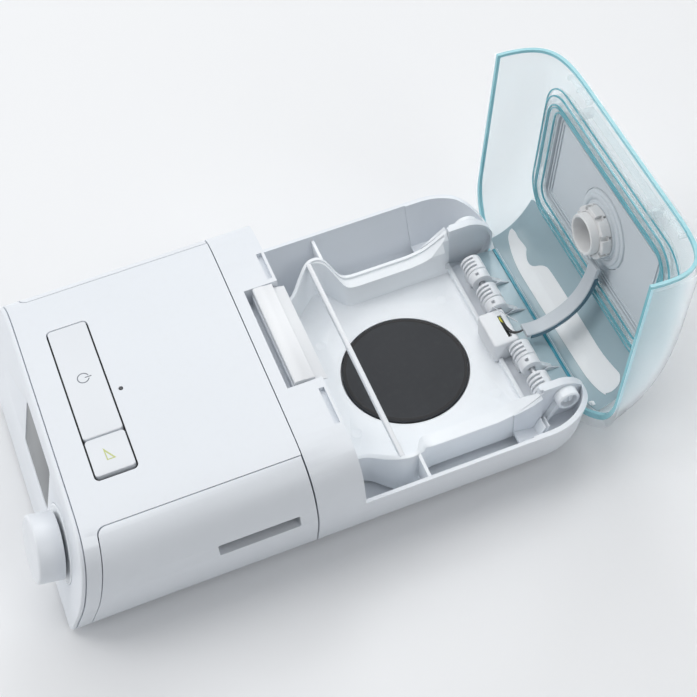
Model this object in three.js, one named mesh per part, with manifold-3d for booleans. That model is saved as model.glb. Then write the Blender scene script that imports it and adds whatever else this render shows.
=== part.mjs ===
// A bedside breathing-therapy unit docked to its heated humidifier, whose lid stands open.
// Millimetres, +Z up. +X is the side with the dial's filter door, -Y the front face, +Y the hinge end.
// Pieces are laid out from the top front edge (y = 0) and the table (z = 0), then moved so that the
// origin is the centre of the bounding box's base.
import * as THREE from 'three'
import { mergeVertices } from 'three/addons/utils/BufferGeometryUtils.js'
import Module from 'manifold-3d'

const wasm = await Module()
wasm.setup()

// driving dimensions
const halfWidth = 94
const topZ = 84
const soleZ = 2.5
const soleHalf = 78
const frontLean = 21
const seamY = 120
const seamGap = 0.6
const bridgeEndY = 147
const rearCorner = 36
const rimZ = 43
const wall = 2.2
const gap = 0.3
const splitZ = 30
const panelThickness = 2.5
const beyond = 120 // past the outside, for blocks that cut right across
const above = 100 // higher than anything drawn with the lid closed

const strip = {
  x0: -51.3, x1: 48.8, split: 25, keyGap: 0.45, y0: 18.6, y1: 40.3, proud: 0.6, gap: 0.9, endGap: 2.3,
  keyDepth: 3.6, sealDepth: 4.6,
}
const display = { x0: -21, x1: 28, z0: 38, z1: 73 }
const dial = { x: 55, z: 46, radius: 18.5, base: 2, top: 16, recess: 22, shaft: 3.2 }
const door = {
  near: 76, far: 80, inset: 11, z0: 7, slotY0: 65.5, slotY1: 110.5, slotZ0: 44.6, slotZ1: 54.6, hood: 4.6,
}
const innerWall = { x0: 70.5, x1: 72.7, step: 0.9, rib: 2.1 }
const filter = { x0: 73.2, x1: 80, y0: 58, y1: 104, z0: 22, z1: 58 }
const cardSlot = { x0: 44, x1: 70, y0: 25, y1: 51, z0: 66, z1: 71.5, wall: 0.8 }
const plug = { x0: 20, x1: 44, y0: 108, z0: 44, z1: 56 }
const board = { x0: -64, x1: 43, y0: 12, y1: 112, z0: 72, z1: 73.6 }
const sensor = { x: 0, y: 46, radius: 1.3 }
const blower = { x: -8, y: 66, radius: 40, z0: 8, z1: 52, inlet: 13, wall: 3, snout: 106 }
const wheel = {
  radius: 33, hub: 9, z0: 21, plateZ: 23, plateTop: 24.6, hubTop: 34, top: 36, blades: 11, blade: 1.4,
}
const motor = { radius: 15, z0: 11.4, z1: 20.4 }
const airPort = { x: -30, z: 32, radius: 11, bore: 9 }

const plate = { y: 207.5, radius: 37.4, z0: 9.2, thick: 1.8 }
const floorZ0 = 8.3
const floorZ1 = 10.1
const tray = { half: 57, rim: 66, ear: 76, y0: 149.3, y1: 262, lowRim: 28, highRim: 42 }
const element = { radius: 30, z0: 7.6 }
const spring = { radius: 24, bore: 20, z0: 4.8, z1: 7.3 }
const bar = { y0: 174.8, y1: 177.8, z0: 38, z1: 42, half: 71 }
const latch = { half: 34.3, y0: 132, y1: 143.4, tongueY: 150.2, z0: 78.8, top: 85.2, tongueTop: 79.6 }
const well = { y0: 127.4, channel: 131.4, floor: 78.5, deep: 71, shell: 2.2, slotY0: 142.4, slotY1: 145.4 }

const openAngle = THREE.MathUtils.degToRad(95.5)
const hinge = { y: 271.3, z: 22.8, rod: 1.9, bore: 2.2, barrel: 6.5, knuckle: 6.3 }
const lobe = { radius: 20.6, inner: 61.2, outer: 66, bedZ: 10.4, rim: 3, bowlY: 246, bowlZ: 14 }
const rearY = hinge.y + lobe.radius
const barrels = [[-50, -39], [-27, -16], [19, 30], [43, 54]]
const knuckles = [[-38.4, -32], [-15.4, -9], [30.6, 37], [54.6, 60.2]]
const wireBox = { x0: -8, x1: 17, y0: 257, y1: 273, z1: 26.5 }
const inlet = { y: 134, z: 26, radius: 5, socket: 3.3, back: -74 }

const lid = {
  y0: 147.4, y1: 288.5, z0: 44.3, coverIn: 1.6, cover: 2, linerOuter: 2.3, linerInner: 3.6, lobeGap: 0.8,
}
const tab = { half: 60.4, near: 7.6, far: 9.8, low: 27, shelf: 46.6 }
const frame = { half: 68, y0: 165, y1: 246, corner: 14, z0: 69.6, z1: 78.6, thick: 5.6, groove: 2.2 }
const rib = { out: 5, thick: 1.1, z0: 70.6, z1: 77.2, web: 76 }
const seal = { z0: 75, z1: 77, lipZ: 73, lip: 2.7 }
const port = { x: 2, y: 207.5, bore: 10, outer: 12.2, mouthZ: 61, flange: 28 }
const arm = { x: 12, width: 8, thick: 2.6 }
const hook = { x0: -40, x1: 42, y0: 152.8, y1: 156.2, tip: 159.2, z0: 77.2, z1: 80.1, low: 71, thick: 2.4 }
const foot = { radius: 6, places: [[-62, -4], [62, -4], [-66, 250], [66, 250]] }

const colours = {
  shell: [0xe8ecf1, 0.38, 0], button: [0xf0f3f7, 0.32, 0], seal: [0x5d6369, 0.7, 0],
  display: [0xa7aeb2, 0.2, 0], dark: [0x2c2e31, 0.6, 0], plate: [0x4b4c4f, 0.45, 0.1],
  bay: [0xdde3e9, 0.45, 0], steel: [0xb4b9be, 0.3, 0.9], clear: [0x74c3d4, 0.12, 0],
  silicone: [0xb9c0c7, 0.6, 0], arm: [0xc9ced3, 0.5, 0], board: [0x2f6b4a, 0.6, 0],
  foam: [0x9aa3ab, 0.95, 0], foot: [0x8a9096, 0.85, 0], lens: [0x3a3f44, 0.15, 0],
  white: [0xf3f5f8, 0.4, 0],
}

// solid helpers
function solid(geometry) {
  const bare = geometry.clone()
  bare.deleteAttribute('normal')
  bare.deleteAttribute('uv')
  const merged = mergeVertices(bare, 1e-4)
  const vertProperties = new Float32Array(merged.attributes.position.array)
  const triVerts = new Uint32Array(merged.index.array)
  return new wasm.Manifold(new wasm.Mesh({ numProp: 3, vertProperties, triVerts }))
}

function geometryOf(body) {
  const mesh = body.getMesh()
  const geometry = new THREE.BufferGeometry()
  geometry.setAttribute('position', new THREE.BufferAttribute(new Float32Array(mesh.vertProperties), 3))
  geometry.setIndex(new THREE.BufferAttribute(new Uint32Array(mesh.triVerts), 1))
  geometry.computeVertexNormals()
  return geometry
}

const axisX = new THREE.Vector3(1, 0, 0)
const axisY = new THREE.Vector3(0, 1, 0)
const axisZ = new THREE.Vector3(0, 0, 1)
const lay = {
  x: new THREE.Matrix4().makeBasis(axisY, axisZ, axisX),
  y: new THREE.Matrix4().makeBasis(axisX, axisZ, axisY.clone().negate()),
  z: new THREE.Matrix4(),
}

// a shape drawn in the other two axes, pushed along one axis from one value to another
function prism(shape, axis, from, to, segments = 4) {
  const settings = { depth: to - from, bevelEnabled: false, curveSegments: segments }
  const geometry = new THREE.ExtrudeGeometry(shape, settings)
  geometry.applyMatrix4(lay[axis])
  const shift = { x: [from, 0, 0], y: [0, to, 0], z: [0, 0, from] }[axis]
  geometry.translate(...shift)
  return solid(geometry)
}

function block(x0, x1, y0, y1, z0, z1) {
  const geometry = new THREE.BoxGeometry(x1 - x0, y1 - y0, z1 - z0)
  geometry.translate((x0 + x1) / 2, (y0 + y1) / 2, (z0 + z1) / 2)
  return solid(geometry)
}

function disc(u, v, radius, hole = 0) {
  const shape = new THREE.Shape()
  shape.absarc(u, v, radius, 0, Math.PI * 2, false)
  if (hole > 0) {
    const inner = new THREE.Path()
    inner.absarc(u, v, hole, 0, Math.PI * 2, true)
    shape.holes.push(inner)
  }
  return shape
}

function cylinder(axis, u, v, radius, from, to, hole = 0, segments = 10) {
  return prism(disc(u, v, radius, hole), axis, from, to, segments)
}

function roundedRect(u0, u1, v0, v1, r) {
  const shape = new THREE.Shape()
  shape.absarc(u1 - r, v0 + r, r, -Math.PI / 2, 0, false)
  shape.absarc(u1 - r, v1 - r, r, 0, Math.PI / 2, false)
  shape.absarc(u0 + r, v1 - r, r, Math.PI / 2, Math.PI, false)
  shape.absarc(u0 + r, v0 + r, r, Math.PI, Math.PI * 1.5, false)
  shape.closePath()
  return shape
}

function lathe(points, sides = 32) {
  const geometry = new THREE.LatheGeometry(points.map(([r, z]) => new THREE.Vector2(r, z)), sides)
  geometry.rotateX(Math.PI / 2)
  return solid(geometry)
}

function outline(points) {
  return new THREE.Shape(points.map(([u, v]) => new THREE.Vector2(u, v)))
}

function mirrored(points) {
  return [...points, ...points.map(([u, v]) => [-u, v]).reverse()]
}

// the body's cross-section: flat top, falling shoulder, full side, tucked-in sole
function bodySection(inset = 0) {
  const side = halfWidth - inset
  const low = soleZ + inset
  const high = topZ - inset
  const half = new THREE.Path()
  half.moveTo(soleHalf - inset, low)
  half.bezierCurveTo(soleHalf + 4 - inset, low, 84 - inset, low + 3, 86 - inset, low + 10)
  half.bezierCurveTo(90 - inset, 27, side, 38, side, 50)
  half.bezierCurveTo(side, 70, 88 - inset, high - 2.6, 70 - inset, high - 0.8)
  half.quadraticCurveTo(62, high, 50, high)
  const right = half.getPoints(6).map((p) => [p.x, p.y])
  return outline(mirrored(right))
}

function bodyPrism(inset, y0, y1) {
  return prism(bodySection(inset), 'y', y0, y1)
}

function faceY(z) {
  return (-frontLean * (topZ - z)) / (topZ - soleZ)
}

// everything ahead of a plane parallel to the leaning front face
function aheadOfFace(offset) {
  const low = -10
  const shape = outline([
    [-beyond, low], [faceY(low) + offset, low], [faceY(above) + offset, above], [-beyond, above],
  ])
  return prism(shape, 'x', -beyond, beyond)
}

function faceSlab(near, far) {
  return aheadOfFace(far).subtract(aheadOfFace(near))
}

// piece registry
const machine = new THREE.Group()
function add(name, colour, body, parent = machine) {
  const [color, roughness, metalness] = colours[colour]
  const clear = colour === 'clear'
  const opacity = clear ? 0.4 : 1
  const settings = { color, roughness, metalness, transparent: clear, opacity }
  const material = new THREE.MeshStandardMaterial(settings)
  const mesh = new THREE.Mesh(geometryOf(body), material)
  mesh.name = name
  parent.add(mesh)
  return mesh
}

// therapy unit, case and covers
function doorRegion(side, grow) {
  const span = side > 0 ? [door.near - grow, beyond] : [-beyond, grow - door.far]
  return block(...span, -40, seamY + 1, door.z0 - grow, above).subtract(aheadOfFace(door.inset - grow))
}

function caseSolid() {
  const outer = bodyPrism(0, -40, seamY).subtract(aheadOfFace(panelThickness + gap))
  const inner = bodyPrism(wall, -60, seamY - wall)
  const inside = bodyPrism(wall + 0.4, -60, seamY)
  let body = outer.subtract(inner)
  const { step, rib } = innerWall
  for (const side of [1, -1]) {
    body = body.subtract(doorRegion(side, gap))
    const wallX = side > 0 ? [innerWall.x0, innerWall.x1] : [-innerWall.x1, -innerWall.x0]
    const sill = side > 0 ? [innerWall.x0, beyond] : [-beyond, -innerWall.x0]
    const sideWall = block(...wallX, -30, seamY, soleZ, topZ).intersect(outer)
    const frontSlab = faceSlab(door.inset - step - rib, door.inset - step)
    const frontEnd = block(...sill, -40, seamY, 0, above).intersect(frontSlab).intersect(outer)
    const rearEnd = block(...sill, seamY - wall, seamY, 0, above).intersect(inside)
    body = body.add(sideWall).add(frontEnd).add(rearEnd)
  }
  const { x0, x1, y0, y1, endGap } = strip
  const throughWall = [innerWall.x0 - 2, innerWall.x1 + 2]
  const keyWell = roundedRect(x0 - strip.gap, x1 + endGap, y0 - strip.gap, y1 + strip.gap, 3)
  const openings = [
    prism(keyWell, 'z', topZ - 8, above),
    cylinder('z', sensor.x, sensor.y, sensor.radius + gap, topZ - 8, above),
    cylinder('y', airPort.x, airPort.z, airPort.radius + 0.4, seamY - 5, seamY + 5),
    block(plug.x0, plug.x1, seamY - 5, seamY + 5, plug.z0, plug.z1),
    block(...throughWall, filter.y0 - 2, filter.y1 + 2, filter.z0 - 2, filter.z1 + 2),
    block(...throughWall, cardSlot.y0 - 1, cardSlot.y1 + 1, cardSlot.z0, cardSlot.z1 + 0.5),
  ]
  return openings.reduce((whole, hole) => whole.subtract(hole), body)
}

function frontPanel() {
  const slab = bodyPrism(0, -60, 60).intersect(faceSlab(0, panelThickness))
  const window = prism(roundedRect(display.x0, display.x1, display.z0, display.z1, 3), 'y', -60, 60)
  return slab.subtract(window)
}

function displaySlab(grow, near, far) {
  const { x0, x1, z0, z1 } = display
  const shape = roundedRect(x0 - grow, x1 + grow, z0 - grow, z1 + grow, 3)
  return prism(shape, 'y', -60, 60).intersect(faceSlab(near, far))
}

function doorSkin(side) {
  const skin = bodyPrism(0, -40, seamY - gap).subtract(bodyPrism(wall, -50, seamY + 5))
  const cover = skin.intersect(doorRegion(side, -gap))
  if (side < 0) return cover
  const { slotY0, slotY1, slotZ0, slotZ1, hood } = door
  const slot = prism(roundedRect(slotY0, slotY1, slotZ0, slotZ1, 1.2), 'x', 60, beyond)
  const frameAround = roundedRect(slotY0 - wall, slotY1 + wall, slotZ0 - wall, slotZ1 + wall, 2.4)
  const inward = prism(frameAround, 'x', halfWidth - wall - hood, halfWidth)
  return cover.add(inward.intersect(bodyPrism(1, -40, seamY))).subtract(slot)
}

const caseBody = caseSolid()
add('lower_case', 'shell', caseBody.intersect(block(-beyond, beyond, -60, 140, -5, splitZ - gap / 2)))

// dial on the leaning face: local +Z stands out of the face
const dialGroup = new THREE.Group()
const faceTilt = Math.PI / 2 - Math.atan2(frontLean, topZ - soleZ)
dialGroup.position.set(dial.x, faceY(dial.z), dial.z)
dialGroup.rotation.x = faceTilt
dialGroup.updateMatrix()

function inDial(body) {
  return body.transform(dialGroup.matrix.elements)
}

add('upper_case', 'shell', caseBody.intersect(block(-beyond, beyond, -60, 140, splitZ + gap / 2, above)))
const shaftHole = cylinder('z', 0, 0, 5, -20, 20)
const recess = inDial(cylinder('z', 0, 0, dial.recess, -1, 20, 0, 16).add(shaftHole))
add('front_panel', 'shell', frontPanel().subtract(recess))
add('display_window', 'display', displaySlab(-gap, 0.4, 2))
add('display_module', 'dark', displaySlab(3, panelThickness + 0.8, 8))

function dialKnob() {
  const { radius, base, top } = dial
  const bore = dial.shaft + 0.4
  return lathe([
    [0, 9.4], [bore, 9.4], [bore, base], [6.2, base], [6.2, 12], [radius - 2.2, 12], [radius - 2.2, base],
    [radius, base], [radius, top - 1.6], [radius - 0.5, top - 0.6], [radius - 1.6, top], [0, top],
  ], 30)
}

function dialPlunger() {
  const { shaft } = dial
  return lathe([[0, -16], [7, -16], [7, -13], [shaft, -13], [shaft, 9], [0, 9]], 24)
}

add('dial_ring', 'bay', cylinder('z', 0, 0, dial.recess - gap, -0.7, 0.3, 5.6, 16), dialGroup)
add('dial_plunger', 'steel', dialPlunger(), dialGroup)
add('control_dial', 'white', dialKnob(), dialGroup)
add('dial_encoder', 'dark', block(-9, 9, -9, 9, -25, -17.6), dialGroup)
machine.add(dialGroup)

// buttons and light sensor on top
function buttonCap(x0, x1) {
  return prism(roundedRect(x0, x1, strip.y0, strip.y1, 2), 'z', topZ - strip.keyDepth, topZ + strip.proud)
}

add('therapy_button', 'button', buttonCap(strip.x0, strip.split - strip.keyGap))
add('ramp_button', 'button', buttonCap(strip.split + strip.keyGap, strip.x1))
const sealShape = roundedRect(strip.x0 - 3, strip.x1 + 4, strip.y0 - 3, strip.y1 + 3, 4)
add('button_seal', 'seal', prism(sealShape, 'z', topZ - strip.sealDepth - 0.8, topZ - strip.sealDepth))
add('light_sensor', 'lens', cylinder('z', sensor.x, sensor.y, sensor.radius, topZ - 3, topZ + 0.1, 0, 8))

// side doors and what sits behind them
add('filter_door', 'shell', doorSkin(1))
add('side_cover', 'shell', doorSkin(-1))
add('pollen_filter', 'foam', block(filter.x0, filter.x1, filter.y0, filter.y1, filter.z0, filter.z1))

function cardSocket() {
  const { x0, x1, y0, y1, z0, z1, wall: thin } = cardSlot
  const room = block(x0 + 2, x1 + 5, y0 + thin, y1 - thin, z0 + 1.2, z1 - thin)
  return block(x0, x1, y0, y1, z0, z1).subtract(room)
}

add('sd_socket', 'steel', cardSocket())

function memoryCard() {
  const { x0, x1, y0, y1, z0, z1 } = cardSlot
  const room = 1.1
  return block(x0 + 3.5, x1 + 5.4, y0 + room, y1 - room, z0 + 1.6, z1 - 1.6)
}

add('sd_card', 'dark', memoryCard())

// blower, board and the air way out
function blowerHousing() {
  const { x, y, radius, z0, z1, inlet: eyeRadius, wall: thick, snout: end } = blower
  const shell = cylinder('z', x, y, radius, z0, z1, 0, 16)
  const reach = airPort.bore + thick
  const snout = block(-reach, reach, y + 20, end, -reach, reach).translate([airPort.x, 0, airPort.z])
  const hollow = cylinder('z', x, y, radius - thick, z0 + thick, z1 - thick, 0, 16)
  const eye = cylinder('z', x, y, eyeRadius, z0 + thick * 2, z1 + 5)
  const way = cylinder('y', airPort.x, airPort.z, airPort.bore, y, end + 4)
  return shell.add(snout).subtract(hollow).subtract(eye).subtract(way)
}

function impeller() {
  const { x, y } = blower
  const { radius, hub, z0, plateZ, plateTop, hubTop, top, blades, blade } = wheel
  let fan = cylinder('z', 0, 0, radius, plateZ, plateTop, 0, 16).add(cylinder('z', 0, 0, hub, z0, hubTop))
  for (let i = 0; i < blades; i++) {
    const fin = block(hub - 1, radius - 1, -blade / 2, blade / 2, plateTop - 0.6, top)
    fan = fan.add(fin.rotate([0, 0, (i * 360) / blades]))
  }
  return fan.translate([x, y, 0])
}

add('blower_housing', 'bay', blowerHousing())
add('blower_impeller', 'dark', impeller())
add('blower_motor', 'steel', cylinder('z', blower.x, blower.y, motor.radius, motor.z0, motor.z1))
add('main_board', 'board', block(board.x0, board.x1, board.y0, board.y1, board.z0, board.z1))

function airTube(y0, y1) {
  return cylinder('y', airPort.x, airPort.z, airPort.radius, y0, y1, airPort.bore)
}

add('outlet_duct', 'silicone', airTube(blower.snout + 0.5, seamY - gap))

function plugBlock() {
  const { x0, x1, y0, z0, z1 } = plug
  const room = 0.4
  return block(x0 + room, x1 - room, y0, seamY - gap, z0 + room, z1 - room)
}

add('link_connector', 'dark', plugBlock())

// humidifier, base and bay
function rearPlan(inset) {
  const half = 110
  const corner = halfWidth - rearCorner
  const y1 = rearY - inset
  const shape = new THREE.Shape()
  shape.moveTo(-half, 100)
  shape.lineTo(half, 100)
  shape.lineTo(half, rearY - rearCorner)
  shape.lineTo(halfWidth - inset, rearY - rearCorner)
  shape.absarc(corner, rearY - rearCorner, rearCorner - inset, 0, Math.PI / 2, false)
  shape.lineTo(-corner, y1)
  shape.absarc(-corner, rearY - rearCorner, rearCorner - inset, Math.PI / 2, Math.PI, false)
  shape.lineTo(-half, rearY - rearCorner)
  return shape
}

// everything ahead of a half round about the hinge line
function roundEnd(radius) {
  const round = cylinder('x', hinge.y, hinge.z, radius, -beyond, beyond, 0, 16)
  return block(-beyond, beyond, 0, hinge.y, -5, above).add(round)
}

// the open bowl on one side, between a cheek of the hinge row and the outer wall, open to the bay ahead
function lobeBowl(side, grow) {
  const across = (from) => (side > 0 ? [from - grow, beyond] : [-beyond, grow - from])
  const low = lobe.bowlZ - grow
  const behind = block(...across(lobe.outer), tray.y1 + gap, rearY, low, above)
  const beside = block(...across(lobe.outer + wall + gap), lobe.bowlY, tray.y1 + 1, low, above)
  return behind.add(beside)
}

function humidifierCase() {
  const start = seamY + seamGap
  const past = rearY + 10
  const within = (inset, y0) => bodyPrism(inset, y0, rearY).intersect(prism(rearPlan(inset), 'z', 0, above))
  const outer = within(0, start).intersect(roundEnd(lobe.radius))
  const bridgeHollow = bodyPrism(wall, start + wall, bridgeEndY - wall)
  const bayHollow = within(wall, bridgeEndY).intersect(roundEnd(lobe.radius - wall))
  const aboveRim = block(-beyond, beyond, bridgeEndY, past, rimZ, above)
  const bowlSpace = within(lobe.rim, bridgeEndY)
  const half = latch.half + 1.2
  const panHalf = half + 2
  const panStart = well.y0 - well.shell
  const pan = block(-panHalf, panHalf, panStart, bridgeEndY - 0.1, well.floor - well.shell, topZ)
    .add(block(-panHalf, panHalf, panStart, well.channel + well.shell, well.deep - well.shell, topZ))
    .intersect(outer)
  const holes = [
    block(-half, half, well.y0, latch.tongueY, well.floor, above),
    block(-half, half, well.y0, well.channel, well.deep, above),
    block(-58, -38.5, well.slotY0, well.slotY1, well.floor - 1.5, above),
    block(42, 66, well.slotY0, well.slotY1, well.floor - 1.5, above),
    block(-lobe.inner, lobe.inner, tray.y1 + gap, past, lobe.bedZ, 60),
    block(-60, 60, 150, 261, 0, 6),
    cylinder('y', airPort.x, airPort.z, airPort.radius + 0.4, start - 5, bridgeEndY + 5),
    cylinder('x', inlet.y, inlet.z, inlet.radius + gap, -100, -80),
    lobeBowl(1, 0).intersect(bowlSpace),
    lobeBowl(-1, 0).intersect(bowlSpace),
  ]
  const bed = block(-lobe.inner, lobe.inner, tray.y1 + gap, rearY, soleZ + 1, lobe.bedZ)
  const cheeks = block(-lobe.outer, lobe.outer, tray.y1 + gap, rearY, soleZ + 1, rimZ)
    .subtract(block(-lobe.inner, lobe.inner, 0, past, 0, above))
  const bowls = lobeBowl(1, wall).add(lobeBowl(-1, wall)).subtract(aboveRim)
  const hingeEnd = bed.add(cheeks).add(bowls).intersect(outer)
  const body = outer.subtract(bridgeHollow).subtract(bayHollow).subtract(aboveRim).add(pan).add(hingeEnd)
  return holes.reduce((whole, hole) => whole.subtract(hole), body)
}

function trayWallPlan() {
  const edge = new THREE.SplineCurve([
    [58, tray.y0], [58.5, 154], [62, 161], [70, 169], [tray.ear - 1, 175.5], [tray.ear, 182], [73, 188],
    [tray.rim + 1, 193], [tray.rim, 200],
  ].map(([x, y]) => new THREE.Vector2(x, y))).getPoints(20)
  const right = [[0, tray.y0], ...edge.map((p) => [p.x, p.y]), [tray.rim, tray.y1], [0, tray.y1]]
  return outline([...right, ...right.slice(1, -1).map(([x, y]) => [-x, y]).reverse()])
}

function trayHollowPlan() {
  const right = [
    [0, tray.y0 + wall], [56, tray.y0 + wall], [56.5, 155], [60, 162.5], [68, 170.5], [72.6, 176], [73, 181],
    [70, 186], [62, 190.5], [tray.half + 0.8, 194], [tray.half, 200], [tray.half, tray.y1 - wall],
    [0, tray.y1 - wall],
  ]
  return outline([...right, ...right.slice(1, -1).map(([x, y]) => [-x, y]).reverse()])
}

function trayTopCut() {
  const { lowRim, highRim } = tray
  const top = new THREE.SplineCurve([
    [140, 29], [152, 30], [163, 34], [174, highRim - 1], [180, highRim], [186, highRim - 2], [194, 30],
    [202, lowRim],
  ].map(([y, z]) => new THREE.Vector2(y, z))).getPoints(20)
  const back = new THREE.SplineCurve([
    [236, lowRim], [246, lowRim + 2], [255, 35], [264, 41], [270, highRim],
  ].map(([y, z]) => new THREE.Vector2(y, z))).getPoints(10)
  const line = [...top, ...back].map((p) => [p.x, p.y])
  return prism(outline([...line, [285, highRim], [285, 90], [130, 90], [130, 29]]), 'x', -beyond, beyond)
}

function trayLiner() {
  const shell = prism(trayWallPlan(), 'z', floorZ0, tray.highRim)
  const rearStep = block(-tray.half - 4, tray.half + 4, tray.y1 - 4, tray.y1 + 4, floorZ1 + 4, 60)
  const holes = [
    prism(trayHollowPlan(), 'z', floorZ1, 60),
    trayTopCut(),
    rearStep,
    cylinder('z', 0, plate.y, plate.radius + 0.8, 0, 20, 0, 18),
    cylinder('y', airPort.x, airPort.z, airPort.bore, tray.y0 - 5, tray.y0 + 8),
    block(wireBox.x0 - 0.4, wireBox.x1 + 0.4, wireBox.y0 - 0.4, 280, floorZ1 + 0.6, 40),
  ]
  const body = holes.reduce((whole, hole) => whole.subtract(hole), shell)
  const fins = [block(74.5, 90.6, 184.4, 186.2, 20, 40), block(-90.6, -74.5, 184.4, 186.2, 20, 40)]
  const caseInside = bodyPrism(wall + gap, bridgeEndY, rearY)
  return fins.reduce((whole, fin) => whole.add(fin.intersect(caseInside)), body)
}

function heaterPlate() {
  const { radius, thick } = plate
  const round = 0.7
  const rim = [[0, 0], [radius, 0], [radius, thick - round], [radius - round, thick], [0, thick]]
  return lathe(rim, 48).translate([0, plate.y, plate.z0])
}

add('humidifier_case', 'shell', humidifierCase())
add('humidifier_base', 'bay', block(-59.7, 59.7, 150.3, 260.7, soleZ, 4.5))
add('tank_bay_liner', 'bay', trayLiner())
add('cross_bar', 'white', block(-bar.half, bar.half, bar.y0, bar.y1, bar.z0, bar.z1))
add('heater_plate', 'plate', heaterPlate())
function underPlate({ radius, z0, bore = 0 }, top, segments) {
  return cylinder('z', 0, plate.y, radius, z0, top, bore, segments)
}

add('heater_element', 'dark', underPlate(element, plate.z0 - gap, 16))
add('heater_spring', 'steel', underPlate(spring, spring.z1, 12))
add('air_inlet', 'silicone', airTube(seamY + seamGap + 0.2, tray.y0 - 0.4))

function powerInlet() {
  const { y, z, radius, socket, back } = inlet
  const barrel = cylinder('x', y, z, radius, -beyond, back).intersect(bodyPrism(0, y - 20, y + 20))
  return barrel.subtract(cylinder('x', y, z, socket, -beyond, back - 3))
}

add('power_inlet', 'dark', powerInlet())

// latch across the bridge's rear edge
function latchBar() {
  const { y0, y1, tongueY, z0, top, tongueTop } = latch
  const side = outline([
    [y0, z0], [tongueY, z0], [tongueY, tongueTop - 0.4], [y1, tongueTop + 1.2], [y1, top - 0.4],
    [y1 - 0.6, top], [y0 + 0.8, top], [y0, top - 0.8],
  ])
  return prism(side, 'x', -latch.half, latch.half)
}

add('lid_latch', 'white', latchBar())

// hinge row: fixed barrels, a rod in two lengths, the wire box between them
function onHinge(radius, x0, x1, hole = 0, segments = 8) {
  return cylinder('x', hinge.y, hinge.z, radius, x0, x1, hole, segments)
}

function hingeBarrel(x0, x1) {
  const post = block(x0 + 1, x1 - 1, hinge.y - 4, hinge.y + 3, lobe.bedZ + gap, hinge.z)
  const grooves = [1 / 3, 2 / 3].map((t) => {
    const x = x0 + t * (x1 - x0)
    return onHinge(hinge.barrel + 2, x - 0.7, x + 0.7, hinge.barrel - 1.2)
  })
  const ribbed = grooves.reduce((whole, groove) => whole.subtract(groove), onHinge(hinge.barrel, x0, x1))
  return ribbed.add(post).subtract(onHinge(hinge.bore, x0 - 1, x1 + 1, 0, 6))
}

barrels.forEach(([x0, x1], i) => add(`hinge_barrel_${i + 1}`, 'white', hingeBarrel(x0, x1)))
add('hinge_rod_left', 'steel', onHinge(hinge.rod, barrels[0][0] - 2, wireBox.x0 - 0.6))
add('hinge_rod_right', 'steel', onHinge(hinge.rod, wireBox.x1 + 0.8, lobe.inner - gap))
const boxPlan = roundedRect(wireBox.x0, wireBox.x1, wireBox.y0, wireBox.y1, 2)
add('wire_box', 'white', prism(boxPlan, 'z', lobe.bedZ + gap, wireBox.z1))
add('link_wires', 'dark', block(1, 8, 262, 276.5, wireBox.z1 + gap, wireBox.z1 + 1.9))

foot.places.forEach(([x, y], i) => {
  add(`foot_${i + 1}`, 'foot', cylinder('z', x, y, foot.radius, 0, soleZ - gap, 0, 8))
})

// lid, drawn closed about its hinge line, then turned open
const lidGroup = new THREE.Group()
lidGroup.position.set(0, hinge.y, hinge.z)
lidGroup.rotation.x = -openAngle
machine.add(lidGroup)

function addToLid(name, colour, body, parent = lidGroup) {
  return add(name, colour, body.translate([0, -hinge.y, -hinge.z]), parent)
}

function lidSide(inset, front, low) {
  const shape = new THREE.Shape()
  const back = lid.y1 - inset
  const high = topZ - inset
  shape.moveTo(front, low)
  shape.lineTo(back, low)
  shape.lineTo(back, 56)
  shape.bezierCurveTo(back, 72, 274 - inset * 0.6, high, 250, high)
  shape.lineTo(front, high)
  return shape
}

function lidPlan(inset) {
  const r = rearCorner - inset
  const side = halfWidth - inset
  const shape = new THREE.Shape()
  shape.moveTo(-side - 20, 100)
  shape.lineTo(side + 20, 100)
  shape.lineTo(side + 20, lid.y1 - rearCorner)
  shape.lineTo(side, lid.y1 - rearCorner)
  shape.absarc(side - r, lid.y1 - rearCorner, r, 0, Math.PI / 2, false)
  shape.lineTo(-side + r, lid.y1 - inset)
  shape.absarc(-side + r, lid.y1 - rearCorner, r, Math.PI / 2, Math.PI, false)
  shape.lineTo(-side - 20, lid.y1 - rearCorner)
  return shape
}

function lidForm(inset, front, low) {
  const section = bodyPrism(inset, front, rearY + 10)
  const side = prism(lidSide(inset, front, low), 'x', -beyond, beyond, 8)
  const plan = prism(lidPlan(inset), 'z', 0, above)
  return section.intersect(side).intersect(plan)
}

const portHole = cylinder('z', port.x, port.y, port.outer + gap, 40, above)
const openBelow = block(-beyond, beyond, 100, hinge.y, 0, lid.z0)
  .add(block(-beyond, beyond, hinge.y - 1, rearY + 10, 0, 34))
  .add(cylinder('x', hinge.y, hinge.z, lobe.radius + lid.lobeGap, -beyond, beyond, 0, 16))

function lidShell(outside, inside, front) {
  const shell = lidForm(outside, front, 20).subtract(lidForm(inside, seamY, 0))
  return shell.subtract(openBelow).subtract(portHole)
}

// a step and a flap carry the cover's rear wall in between the two lobes to the knuckles
const step = block(-tab.half, tab.half, hinge.y + tab.near, lid.y1 - 1, lid.z0, tab.shelf)
const flap = block(-tab.half, tab.half, hinge.y + tab.near, hinge.y + tab.far, tab.low, tab.shelf)
addToLid('lid_cover', 'white', lidShell(0, lid.cover, lid.y0 + lid.coverIn).add(step).add(flap))
const stepRoom = block(-tab.half - gap, tab.half + gap, 262, lid.y1 - lid.cover, 30, tab.shelf + gap)
addToLid('lid_liner', 'clear', lidShell(lid.linerOuter, lid.linerInner, lid.y0).subtract(stepRoom))

function ringPlan(grow) {
  const { half, y0, y1, corner } = frame
  return roundedRect(-half - grow, half + grow, y0 - grow, y1 + grow, corner + grow)
}

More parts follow.
